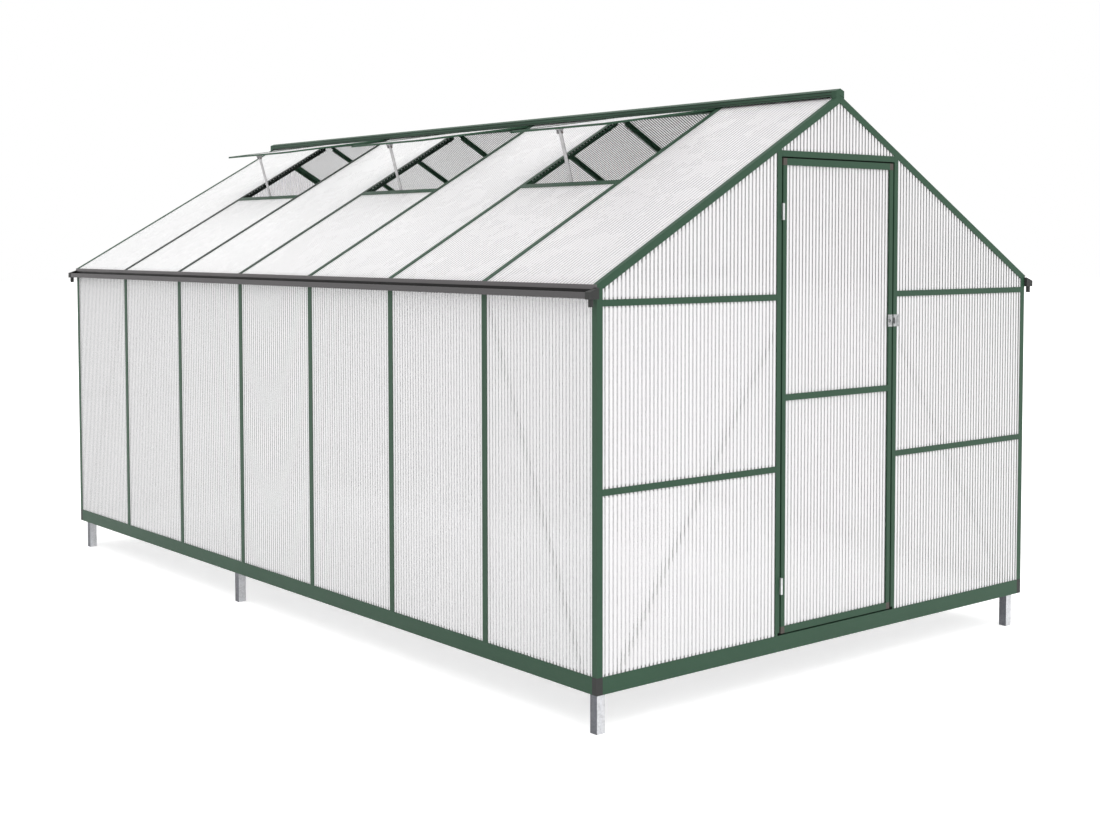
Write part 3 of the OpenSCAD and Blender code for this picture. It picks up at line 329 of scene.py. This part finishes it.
wallFlat = polycarbonate(flatLook)  # milk white, nearly closed
thinFlat = polycarbonate({**flatLook, "name": "glowingPolycarbonate",  # lit through from behind
                          "glow": 0.6})
wallRib = polycarbonate({**ribLook, "name": "shadedPolycarbonateRib",  # painted shade, darker away from the corner
                         "far": {"x": 1.0, "y": 0.5, "start": -1.9, "end": 0.15,
                                 "tone": "#686C69"}})
farRib = polycarbonate(ribLook)  # pale grey lines, as through thin frosted glass
innerRib = polycarbonate({**ribLook, "name": "clearPolycarbonateRib",  # clear, so braces show
                          "roughness": (0.1, 0.2), "through": 0.95})
innerFlat = polycarbonate({**flatLook, "name": "thinPolycarbonate",  # passes on most of the light
                           "dark": "#FBFBFB", "light": "#FFFFFF", "glow": 0.9})
roofFlat = polycarbonate(opalLook)  # whiter and more open to light than the walls
roofRib = polycarbonate(greyRibLook)  # faint grey lines
paintedLightFlat = polycarbonate({**opalLook, "name": "paintedLightPolycarbonate",  # painted light, paler to the back
                              "far": roofFar})
paintedLightRib = polycarbonate({**greyRibLook, "name": "paintedLightPolycarbonateRib",  # painted light, fading with it
                             "far": roofFar})
shadeFlat = polycarbonate({**opalLook, "name": "thinOpalPolycarbonate",  # painted light, brighter to the back
                           "glow": 0.3, "far": {**roofFar, "glow": 0.7}})
roofInnerRib = polycarbonate(shadedInnerRibLook)  # painted shade: dark inner ribs
shadeInnerRib = polycarbonate({**shadedInnerRibLook, "name": "palerShadedInnerPolycarbonateRib",  # less so
                               "far": {"x": 0.0, "y": 1.0, "start": -1.5, "end": 2.1,
                                       "tone": "#8E8E8E"}})
print("materials made")

finishes = {
    coat: ["base_front", "base_back", "base_sides", "corner_posts", "side_posts", "door_jambs",
           "door_header", "front_rails", "back_studs", "back_rails", "gable_bars",
           "ridge_end_caps", "roof_bars_right", "vent_sills", "vent_side_bars",
           "vent_cross_bars", "front_braces", "back_braces", "side_braces", "door_stiles",
           "door_rails"],
    charcoalNylon: ["base_corners", "gutter_end_caps"],
    brownNylon: ["door_corners"],
    ridgeCoat: ["ridge_beam"],
    roofCoat: ["roof_bars_left"],
    eavePaint: ["eave_bars"],
    lipPaint: ["gutter_lips"],
    troughShadePaint: ["gutter_floors"],
    galvanised: ["ground_stakes"],
    stayAluminium: ["vent_stays"],
    bareAluminium: ["hinge_leaves", "door_hinges"],
    zincPlate: ["latch_keeper", "door_latch"],
}
for finish, names in finishes.items():
    for name in names:
        for materialSlot in cadNodes[name].material_slots:
            materialSlot.material = finish
print("finishes set on the frame's pieces")

# Twin-wall sheets, fluted, in place of the frame's plain ones
sheetLook = {"pitch": 0.018,  # from rib to rib
             "ribShare": 0.4,  # of the pitch
             "groove": 0.0007,  # how far the skins sink at the ribs
             "columns": 10}  # strips in each flute
skinNames = ("Flat", "Rib", "Inner rib", "Inner flat")
wallSkins = (wallFlat, wallRib, innerRib, innerFlat)
farSkins = (thinFlat, farRib, innerRib, innerFlat)
ventSkins = (roofFlat, roofRib, roofInnerRib, innerFlat)
sunnySkins = (paintedLightFlat, paintedLightRib, roofInnerRib, innerFlat)
shadySkins = (shadeFlat, roofRib, shadeInnerRib, innerFlat)
roomMiddle = Vector((0, 0, 1))  # a place inside the house, which every sheet faces away from
sheetNodes = {"front_wall_sheets": ("root", wallSkins), "back_wall_sheets": ("root", farSkins),
              "left_wall_sheets": ("root", wallSkins), "right_wall_sheets": ("root", farSkins),
              "door_sheets": ("door", wallSkins), "roof_sheets_left": ("root", sunnySkins),
              "roof_sheets_right": ("root", shadySkins), "vent_sheets": ("root", ventSkins)}


def fluteTree():
    # A sheet from its lower left corner: X across the flutes, Y up them, Z out of the house.
    tree = bpy.data.node_groups.new("flutedSheet", "GeometryNodeTree")
    tree.interface.new_socket("Geometry", in_out="OUTPUT", socket_type="NodeSocketGeometry")
    sizes = ("Width", "Left height", "Crown height", "Right height", "Crown place", "Thickness",
             "Flutes", "Rib share", "Groove")
    for name in sizes:
        tree.interface.new_socket(name, in_out="INPUT", socket_type="NodeSocketFloat")
    for name in skinNames:
        tree.interface.new_socket(name, in_out="INPUT", socket_type="NodeSocketMaterial")
    given = addNode(tree, "NodeGroupInput").outputs
    at = addNode(tree, "ShaderNodeSeparateXYZ", inputs={
        "Vector": addNode(tree, "GeometryNodeInputPosition").outputs[0]}).outputs
    # The top edge runs from the left height up to the crown and down to the right height.
    drop = addNode(tree, "ShaderNodeMath", {"operation": "SUBTRACT"}, {
        0: given["Right height"], 1: given["Crown height"]})
    rise = addNode(tree, "ShaderNodeMapRange", inputs={
        "Value": at["X"], "From Min": 0.0, "From Max": given["Crown place"],
        "To Min": given["Left height"], "To Max": given["Crown height"]})
    fall = addNode(tree, "ShaderNodeMapRange", inputs={
        "Value": at["X"], "From Min": given["Crown place"], "From Max": given["Width"],
        "To Min": 0.0, "To Max": drop.outputs[0]})
    # The sums: a name, an operation, and what it works on, an input, an earlier sum or a number.
    sums = (
        ("strips", "MULTIPLY", "Flutes", float(sheetLook["columns"])),
        ("columns", "ADD", "strips", 1.0),
        ("half width", "MULTIPLY", "Width", 0.5),
        ("share across", "DIVIDE", "x", "Width"),
        ("flutes across", "MULTIPLY", "share across", "Flutes"),
        ("in flute", "FRACT", "flutes across"),
        ("off rib", "SUBTRACT", "in flute", 0.5),
        ("from rib", "ABSOLUTE", "off rib"),  # 0 at a rib, 0.5 at the middle of a flat
        ("half rib", "MULTIPLY", "Rib share", 0.5),
        ("on rib", "LESS_THAN", "from rib", "half rib"),
        ("flatness", "MULTIPLY", "from rib", 2.0),
        ("nearness", "SUBTRACT", 1.0, "flatness"),
        ("dip", "POWER", "nearness", 2.0),
        ("sink", "MULTIPLY", "Groove", "dip"),
        ("depth share", "DIVIDE", "z", "Thickness"),
        ("depth twice", "MULTIPLY", "depth share", 2.0),
        ("inward", "SUBTRACT", 1.0, "depth twice"),  # 1 on the inner skin, -1 on the outer
        ("sunk", "MULTIPLY", "sink", "inward"),
        ("below face", "SUBTRACT", "z", "Thickness"),
        ("new z", "ADD", "below face", "sunk"),
        ("top", "ADD", "rise", "fall"),
        ("new y", "MULTIPLY", "y", "top"),
        ("middle depth", "MULTIPLY", "Thickness", -0.5),
        ("on inner", "LESS_THAN", "z", "middle depth"),
        ("on inner rib", "MULTIPLY", "on rib", "on inner"),
    )
    known = {name: given[name] for name in sizes}
    known.update(x=at["X"], y=at["Y"], z=at["Z"], rise=rise.outputs[0], fall=fall.outputs[0])
    for name, operation, *parts in sums:
        known[name] = addNode(tree, "ShaderNodeMath", {"operation": operation}, {
            i: known.get(part, part) for i, part in enumerate(parts)}).outputs[0]
    grid = addNode(tree, "GeometryNodeMeshGrid", inputs={
        "Size X": known["Width"], "Size Y": 1.0, "Vertices X": known["columns"], "Vertices Y": 2})
    corner = addNode(tree, "ShaderNodeCombineXYZ", inputs={"X": known["half width"], "Y": 0.5})
    inner = addNode(tree, "GeometryNodeTransform", inputs={
        "Geometry": grid.outputs[0], "Translation": corner.outputs[0]})
    thick = addNode(tree, "ShaderNodeCombineXYZ", inputs={"Z": known["Thickness"]})
    outer = addNode(tree, "GeometryNodeExtrudeMesh", inputs={
        "Mesh": inner.outputs[0], "Offset": thick.outputs[0], "Offset Scale": 1.0,
        "Individual": False})
    turned = addNode(tree, "GeometryNodeFlipFaces", inputs={0: inner.outputs[0]})
    both = addNode(tree, "GeometryNodeJoinGeometry", inputs={0: outer.outputs[0]})
    tree.links.new(turned.outputs[0], both.inputs[0])
    shell = addNode(tree, "GeometryNodeMergeByDistance", inputs={
        "Geometry": both.outputs[0], "Distance": weldGap})
    place = addNode(tree, "ShaderNodeCombineXYZ", inputs={
        "X": known["x"], "Y": known["new y"], "Z": known["new z"]})
    shaped = addNode(tree, "GeometryNodeSetPosition", inputs={
        "Geometry": shell.outputs[0], "Position": place.outputs[0]})
    real = addNode(tree, "GeometryNodeRealizeInstances", inputs={0: shaped.outputs[0]})
    painted = addNode(tree, "GeometryNodeSetMaterial", inputs={
        "Geometry": real.outputs[0], "Material": given["Flat"]})
    for skin, where in (("Inner flat", "on inner"), ("Rib", "on rib"), ("Inner rib", "on inner rib")):
        painted = addNode(tree, "GeometryNodeSetMaterial", inputs={
            "Geometry": painted.outputs[0], "Selection": known[where], "Material": given[skin]})
    addNode(tree, "NodeGroupOutput", inputs={0: painted.outputs[0]})
    return tree


def runTree(tree, values, start=None):  # a plain mesh from a tree, with its inputs set by name
    holder = bpy.data.objects.new("holder", start or bpy.data.meshes.new("holder"))
    scene.collection.objects.link(holder)
    modifier = holder.modifiers.new("nodes", "NODES")
    modifier.node_group = tree
    for item in tree.interface.items_tree:
        if item.item_type == "SOCKET" and item.in_out == "INPUT" and item.name in values:
            modifier[item.identifier] = values[item.name]
    ready = holder.evaluated_get(bpy.context.evaluated_depsgraph_get())
    mesh = bpy.data.meshes.new_from_object(ready)
    bpy.data.objects.remove(holder)
    return mesh


def joinMeshes(name, meshes, materials):  # one object at the origin, its faces on the given materials
    joined = bmesh.new()
    for mesh in meshes:
        order = [materials.index(m) if m in materials else 0 for m in mesh.materials]
        first = len(joined.faces)
        joined.from_mesh(mesh)
        joined.faces.ensure_lookup_table()
        for face in joined.faces[first:]:
            face.material_index = order[face.material_index] if order else 0
        bpy.data.meshes.remove(mesh)
    whole = bpy.data.meshes.new(name)
    joined.to_mesh(whole)
    joined.free()
    for material in materials:
        whole.materials.append(material)
    piece = bpy.data.objects.new(name, whole)
    scene.collection.objects.link(piece)
    return piece


def solidsOf(name):  # the corner points and the widest face's normal of each solid in a CAD node
    copy = bmesh.new()
    copy.from_mesh(cadNodes[name].data)
    bmesh.ops.remove_doubles(copy, verts=copy.verts, dist=weldGap)
    solids, seen = [], set()
    for start in copy.faces:
        if start in seen:
            continue
        group, queue = [], [start]
        seen.add(start)
        while queue:
            face = queue.pop()
            group.append(face)
            for edge in face.edges:
                for near in edge.link_faces:
                    if near not in seen:
                        seen.add(near)
                        queue.append(near)
        points = dict.fromkeys(v for face in group for v in face.verts)  # each once, in order
        corners = [v.co.copy() for v in points]
        widest = max(group, key=lambda face: face.calc_area())
        solids.append((corners, widest.normal.copy()))
    copy.free()
    return solids


def sheetSizes(corners, normal, skins):
    # The tree's sizes for a flat sheet, and the matrix that puts it in its place.
    middle = sum(corners, Vector()) / len(corners)
    out = normal if normal.dot(middle - roomMiddle) > 0 else -normal
    up = (Vector((0, 0, 1)) - out * out.z).normalized()
    side = up.cross(out)
    spots = [(c.dot(side), c.dot(up), c.dot(out)) for c in corners]
    left, right = min(s[0] for s in spots), max(s[0] for s in spots)
    low, face, back = min(s[1] for s in spots), max(s[2] for s in spots), min(s[2] for s in spots)
    heightAt = lambda edge: max(s[1] for s in spots if abs(s[0] - edge) < sameLine) - low
    crown = max(spots, key=lambda s: s[1])
    width = right - left
    sizes = {"Width": width, "Left height": heightAt(left), "Right height": heightAt(right),
             "Crown place": crown[0] - left, "Crown height": crown[1] - low,
             "Thickness": face - back, "Flutes": float(round(width / sheetLook["pitch"])),
             "Rib share": sheetLook["ribShare"], "Groove": sheetLook["groove"],
             **dict(zip(skinNames, skins))}
    if min(sizes["Crown place"], width - sizes["Crown place"]) < sameLine:  # no crown between
        sizes["Crown place"] = width / 2
        sizes["Crown height"] = (sizes["Left height"] + sizes["Right height"]) / 2
    place = Matrix((side, up, out)).transposed().to_4x4()
    place.translation = side * left + up * low + out * face
    return sizes, place


sheetTree = fluteTree()
for name, (body, skins) in sheetNodes.items():
    meshes = []
    for corners, normal in solidsOf(name):
        sizes, place = sheetSizes(corners, normal, skins)
        mesh = runTree(sheetTree, sizes)
        mesh.transform(place)
        meshes.append(mesh)
    piece = joinMeshes("fluted_" + name, meshes, skins)
    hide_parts(name)
    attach(piece, body)
    print(name, len(meshes), "fluted sheets,", len(piece.data.polygons), "faces")


# Bolts, screws and glazing pins
def fastenerTree():
    # A low round or six-sided head on every point, turned to the way the point faces.
    tree = bpy.data.node_groups.new("fastenerHeads", "GeometryNodeTree")
    for way in ("INPUT", "OUTPUT"):
        tree.interface.new_socket("Geometry", in_out=way, socket_type="NodeSocketGeometry")
    tree.interface.new_socket("Sides", in_out="INPUT", socket_type="NodeSocketInt")
    for name in ("Radius", "Top radius", "Height"):
        tree.interface.new_socket(name, in_out="INPUT", socket_type="NodeSocketFloat")
    tree.interface.new_socket("Finish", in_out="INPUT", socket_type="NodeSocketMaterial")
    given = addNode(tree, "NodeGroupInput").outputs
    head = addNode(tree, "GeometryNodeMeshCone", {"fill_type": "NGON"}, {
        "Vertices": given["Sides"], "Radius Bottom": given["Radius"],
        "Radius Top": given["Top radius"], "Depth": given["Height"]})
    facing = addNode(tree, "GeometryNodeInputNamedAttribute", {"data_type": "FLOAT_VECTOR"}, {
        "Name": "facing"})
    turn = addNode(tree, "FunctionNodeAlignRotationToVector", {"axis": "Z"}, {
        "Vector": facing.outputs[0]})
    placed = addNode(tree, "GeometryNodeInstanceOnPoints", inputs={
        "Points": given["Geometry"], "Instance": head.outputs[0], "Rotation": turn.outputs[0]})
    real = addNode(tree, "GeometryNodeRealizeInstances", inputs={0: placed.outputs[0]})
    painted = addNode(tree, "GeometryNodeSetMaterial", inputs={
        "Geometry": real.outputs[0], "Material": given["Finish"]})
    addNode(tree, "NodeGroupOutput", inputs={0: painted.outputs[0]})
    return tree


headTree = fastenerTree()


def addHeads(name, body, spots, look):  # spots are pairs of a place and the way it faces
    start = bpy.data.meshes.new(name + "Spots")
    start.from_pydata([tuple(place) for place, facing in spots], [], [])
    facings = start.attributes.new("facing", "FLOAT_VECTOR", "POINT")
    for item, (place, facing) in zip(facings.data, spots):
        item.vector = facing
    mesh = runTree(headTree, {"Sides": look["sides"], "Radius": look["radius"],
                              "Top radius": look["top"], "Height": look["height"],
                              "Finish": look["finish"]}, start)
    piece = joinMeshes(name, [mesh], [look["finish"]])
    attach(piece, body)
    print(name, len(spots), "heads")


roofLook = {"pitch": math.radians(30),
            "eave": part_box("gutter_floors")[0].z + 0.046,  # height of the outside at the eave
            "half": -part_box("corner_posts")[0].x,  # of the house's width
            "barDepth": 0.024, "sheetDepth": 0.0044}  # under the outside


def roofPlace(x, y, under):  # a place on the left slope, a depth under its outside
    rise = (roofLook["half"] + x) * math.tan(roofLook["pitch"])
    return Vector((x, y, roofLook["eave"] + rise - under / math.cos(roofLook["pitch"])))


def extent(corners):  # the lowest and the highest corner of the box round them
    return [Vector(tuple(pick(c[i] for c in corners) for i in range(3))) for pick in (min, max)]


# Frame bolts: one near each end of a brace, and two at each end of a post or a roof bar
hexBolt = {"sides": 6, "radius": 0.0055, "top": 0.005, "height": 0.0035, "finish": boltSteel}
boltLook = {"braceIn": 0.016,  # from the middle of a brace's end
            "braceEnd": 0.03,  # corners this near a tip's height belong to that end
            "postFoot": (0.035, 0.075), "postHead": (0.06, 0.025),
            "barFoot": (0.045, 0.075), "barHead": (0.06, 0.035)}
boltSpots = []
for node in ("front_braces", "back_braces", "side_braces"):
    for corners, normal in solidsOf(node):
        low, high = extent(corners)
        thin = 0 if high.x - low.x < high.y - low.y else 1  # the way across the strip
        inward = Vector((0, 0, 0))
        inward[thin] = -1.0 if (low + high)[thin] > 0 else 1.0
        ends = []
        for pick in (min, max):
            tip = pick(corners, key=lambda c: c.z).z
            near = [c for c in corners if abs(c.z - tip) < boltLook["braceEnd"]]
            ends.append(sum(near, Vector()) / len(near))
        along = (ends[1] - ends[0]).normalized()
        for end, step in zip(ends, (1, -1)):
            place = end + along * step * boltLook["braceIn"]
            place[thin] = high[thin] if inward[thin] > 0 else low[thin]
            boltSpots.append((place, inward))
for corners, normal in solidsOf("side_posts"):
    low, high = extent(corners)
    side = -1.0 if low.x > 0 else 1.0
    face = low.x if low.x > 0 else high.x
    heights = [low.z + up for up in boltLook["postFoot"]]
    heights += [high.z - down for down in boltLook["postHead"]]
    for z in heights:
        boltSpots.append((Vector((face, (low.y + high.y) / 2, z)), Vector((side, 0, 0))))
for corners, normal in solidsOf("roof_bars_left"):  # and the same mirrored on the right slope
    low, high = extent(corners)
    facing = Vector((math.sin(roofLook["pitch"]), 0, -math.cos(roofLook["pitch"])))
    across = [low.x + up for up in boltLook["barFoot"]]
    across += [high.x - down for down in boltLook["barHead"]]
    for x in across:
        place = roofPlace(x, (low.y + high.y) / 2, roofLook["barDepth"])
        boltSpots.append((place, facing))
        boltSpots.append((Vector((-place.x, place.y, place.z)), Vector((-facing.x, 0, facing.z))))
addHeads("frame_bolts", "root", boltSpots, hexBolt)

# Glazing pins: a row along each side of the roof bars beside the vents, where no sheet hides it
glazingPin = {"sides": 8, "radius": 0.0028, "top": 0.0018, "height": 0.0009,
              "finish": bareAluminium}
pinLook = {"pitch": 0.0185, "out": 0.013,  # from the middle of the bar
           "start": 0.045, "end": 0.52}  # level, from the ridge
pinStep = pinLook["pitch"] * math.cos(roofLook["pitch"])
pinRow = int((pinLook["end"] - pinLook["start"]) / pinStep)
bars = [sum(extent(corners), Vector()).y / 2 for corners, normal in solidsOf("roof_bars_left")]
pinSpots = []
for corners, normal in solidsOf("vent_sheets"):
    low, high = extent(corners)
    for y, side in ((low.y, 1.0), (high.y, -1.0)):
        bar = min(bars, key=lambda middle: abs(middle - y))
        for k in range(pinRow):
            place = roofPlace(-pinLook["start"] - k * pinStep, bar + side * pinLook["out"],
                              roofLook["sheetDepth"])
            pinSpots.append((place, Vector((0, side, 0))))
addHeads("glazing_pins", "root", pinSpots, glazingPin)

# Screws in the latch's plate, on the door, and in its keeper's, on the jamb
panHead = {"sides": 12, "radius": 0.0035, "top": 0.0024, "height": 0.0014, "finish": zincPlate}
latchLook = {"face": -2.1463,  # the front of both plates
             "rise": 0.0165,  # from the middle of a plate
             "in": 0.0055,  # from the latch's left edge
             "keeperX": 0.3435}
latchLow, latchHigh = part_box("door_latch")
for name, body, x in (("latch_screws", "door", latchLow.x + latchLook["in"]),
                      ("keeper_screws", "root", latchLook["keeperX"])):
    middle = (latchLow.z + latchHigh.z) / 2
    addHeads(name, body, [
        (Vector((x, latchLook["face"], middle + side * latchLook["rise"])), Vector((0, -1, 0)))
        for side in (-1, 1)], panHead)


def addPrism(builder, outline, step):  # a closed outline of points, drawn out by a step
    near = [builder.verts.new(point) for point in outline]
    far = [builder.verts.new(point + step) for point in outline]
    builder.faces.new(near)
    builder.faces.new(far)
    for i in range(len(near)):
        j = (i + 1) % len(near)
        builder.faces.new((near[i], near[j], far[j], far[i]))


def finishPiece(name, builder, body, finish):  # an object from the faces built so far
    bmesh.ops.recalc_face_normals(builder, faces=builder.faces)
    mesh = bpy.data.meshes.new(name)
    builder.to_mesh(mesh)
    builder.free()
    mesh.materials.append(finish)
    piece = bpy.data.objects.new(name, mesh)
    scene.collection.objects.link(piece)
    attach(piece, body)
    print(name, len(mesh.polygons), "faces")


# Ears and pivots at the heads of the vent stays: a plate on each side, round at its lower end
earLook = {"hingeX": -0.021, "hingeZ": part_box("ridge_beam")[1].z - 0.0315,  # the vents' hinge line
           "slope": math.radians(8.5), "fromHinge": 0.575,  # the vents' slope, and how far down it
           "drop": 0.0113, "bite": 0.0005,  # under the vent's outside, and a lap into its bar
           "reach": 0.0165, "topHalf": 0.009, "tipHalf": 0.005, "thick": 0.002,
           "gap": 0.0104}  # from the middle of the stay


def ventPlace(along, y, out):  # from the vents' hinge line, down their slope and out of it
    c, d = math.cos(earLook["slope"]), math.sin(earLook["slope"])
    return Vector((earLook["hingeX"] - along * c - out * d, y, earLook["hingeZ"] - along * d + out * c))


earTop = -earLook["drop"] + earLook["bite"]
pivotOut = -earLook["drop"] - earLook["reach"] + earLook["tipHalf"]
earOutline = [(earLook["fromHinge"] + earLook["topHalf"], earTop),
              (earLook["fromHinge"] - earLook["topHalf"], earTop)]
for degrees in range(180, 361, 30):
    a = math.radians(degrees)
    earOutline.append((earLook["fromHinge"] + earLook["tipHalf"] * math.cos(a),
                       -earLook["drop"] - earLook["reach"] + earLook["tipHalf"] * (1 + math.sin(a))))
builder = bmesh.new()
pivotSpots = []
for corners, normal in solidsOf("vent_stays"):
    low, high = extent(corners)
    middle = (low.y + high.y) / 2
    for side in (-1, 1):
        y = middle + side * earLook["gap"]
        addPrism(builder, [ventPlace(along, y, out) for along, out in earOutline],
                 Vector((0, side * earLook["thick"], 0)))
        pivot = ventPlace(earLook["fromHinge"], y + side * earLook["thick"], pivotOut)
        pivotSpots.append((pivot, Vector((0, side, 0))))
finishPiece("stay_ears", builder, "root", stayAluminium)
addHeads("stay_pivots", "root", pivotSpots, hexBolt)

# Rubber seals on the frame, behind the edges of the door: black strips that paint the shade in the gaps
# round it
sealLook = {"bulb": 0.0022, "strip": 0.0024,  # the bulb's radius and the strip's thickness
            "setBack": 0.0006,  # of the strip, from the back of the bulb
            "behind": 0.0008, "overlap": 0.005,  # the gap to the door, and the lap behind its edge
            "above": 0.0155, "below": 0.013,  # how far the strips start past the door
            "cornerGap": 0.005, "cornerLow": -0.0052, "cornerHigh": 0.01}  # the blocks
jambLook = {"half": 0.018, "webHalf": 0.0017}  # half widths of the bars beside the door
leafLow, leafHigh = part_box("door_stiles")
railLow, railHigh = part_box("door_rails")
sealFront = leafHigh.y + sealLook["behind"]
jambLow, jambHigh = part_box("door_jambs")
webs = (jambLow.x + jambLook["half"] + jambLook["webHalf"],  # sides of the jambs' webs
        jambHigh.x - jambLook["half"] - jambLook["webHalf"])


def addSeal(builder, start, across, width, along):  # a strip with a bulb on its free edge
    bulb, strip = sealLook["bulb"], sealLook["strip"]
    front = bulb * 2 - strip - sealLook["setBack"]
    outline = [(0, front), (width - 2 * bulb, front)]
    for degrees in range(150, -151, -30):
        a = math.radians(degrees)
        outline.append((width - bulb + bulb * math.cos(a), bulb - bulb * math.sin(a)))
    outline += [(width - 2 * bulb, front + strip), (0, front + strip)]
    addPrism(builder, [start + across * a + Vector((0, d, 0)) for a, d in outline], along)


builder = bmesh.new()
sealTop, sealFoot = railHigh.z + sealLook["above"], railLow.z - sealLook["below"]
edgeLeft, edgeRight = leafLow.x + sealLook["overlap"], leafHigh.x - sealLook["overlap"]
tall = Vector((0, 0, sealTop - sealFoot))
addSeal(builder, Vector((webs[0], sealFront, sealFoot)), Vector((1, 0, 0)), edgeLeft - webs[0], tall)
addSeal(builder, Vector((webs[1], sealFront, sealFoot)), Vector((-1, 0, 0)), webs[1] - edgeRight, tall)
wide = Vector((edgeRight - edgeLeft, 0, 0))
addSeal(builder, Vector((edgeLeft, sealFront, sealTop)), Vector((0, 0, -1)),
        sealTop - railHigh.z + sealLook["overlap"], wide)
addSeal(builder, Vector((edgeLeft, sealFront, sealFoot)), Vector((0, 0, 1)),
        railLow.z + sealLook["overlap"] - sealFoot, wide)
for edge, web in ((leafLow.x, webs[0]), (leafHigh.x, webs[1])):  # and a block in each lower corner
    near = edge + math.copysign(sealLook["cornerGap"], web - edge)
    corner = [Vector((x, y, railLow.z + sealLook["cornerLow"]))
              for x, y in ((near, leafLow.y), (web, leafLow.y), (web, sealFront), (near, sealFront))]
    addPrism(builder, corner, Vector((0, 0, sealLook["cornerHigh"])))
finishPiece("door_gap_shade_seals", builder, "root", gapShadeRubber)

# Floor and light
stageLook = {"reach": 60.0, "floor": "#E6E6E6", "white": "#FFFFFF",
             "lift": 0.5,  # brings the floor up to white where it is seen
             "sky": 1.0,  # light from all round
             "key": 0.7, "keyFrom": (-0.35, -1.3, 1.5), "fill": 0.6, "fillFrom": (0.8, -0.4, 1.6),
             "softness": 50}  # how wide each lamp looks, in degrees


def seenRays(tree):  # 1 for rays from the camera, off gloss and through glass, 0 for the others
    rays = addNode(tree, "ShaderNodeLightPath").outputs
    seen = addNode(tree, "ShaderNodeMath", {"operation": "MAXIMUM"}, {
        0: rays["Is Camera Ray"], 1: rays["Is Glossy Ray"]})
    return addNode(tree, "ShaderNodeMath", {"operation": "MAXIMUM"}, {
        0: seen.outputs[0], 1: rays["Is Transmission Ray"]}).outputs[0]


reach = stageLook["reach"]
floorMesh = bpy.data.meshes.new("floor")
floorMesh.from_pydata([(-reach, -reach, 0), (reach, -reach, 0), (reach, reach, 0), (-reach, reach, 0)],
                      [], [(0, 1, 2, 3)])
floor = bpy.data.objects.new("floor", floorMesh)
scene.collection.objects.link(floor)
floorPaint, tree = startMaterial("studioFloor")  # matt white paint, lifted where it is seen
lift = addNode(tree, "ShaderNodeMath", {"operation": "MULTIPLY"}, {
    0: seenRays(tree), 1: stageLook["lift"]})
matt = addNode(tree, "ShaderNodeBsdfPrincipled", inputs={
    "Base Color": hexColor(stageLook["floor"]), "Roughness": 0.9,
    "Emission Color": hexColor(stageLook["white"]), "Emission Strength": lift.outputs[0]})
addNode(tree, "ShaderNodeOutputMaterial", inputs={"Surface": matt.outputs[0]})
floorMesh.materials.append(floorPaint)

world = bpy.data.worlds.new("studio")
scene.world = world
world.use_nodes = True
tree = world.node_tree
tree.nodes.clear()
sky = addNode(tree, "ShaderNodeMapRange", inputs={
    "Value": seenRays(tree), "To Min": stageLook["sky"], "To Max": 1.0})
glow = addNode(tree, "ShaderNodeBackground", inputs={
    "Color": hexColor(stageLook["white"]), "Strength": sky.outputs[0]})
addNode(tree, "ShaderNodeOutputWorld", inputs={"Surface": glow.outputs[0]})


def addSun(name, strength, direction):  # direction is where the light comes from
    lamp = bpy.data.lights.new(name, "SUN")
    lamp.energy = strength
    lamp.angle = math.radians(stageLook["softness"])
    sun = bpy.data.objects.new(name, lamp)
    sun.rotation_euler = Vector(direction).to_track_quat("Z", "Y").to_euler()
    scene.collection.objects.link(sun)


addSun("keyLight", stageLook["key"], stageLook["keyFrom"])
addSun("fillLight", stageLook["fill"], stageLook["fillFrom"])
print("floor and lights placed")
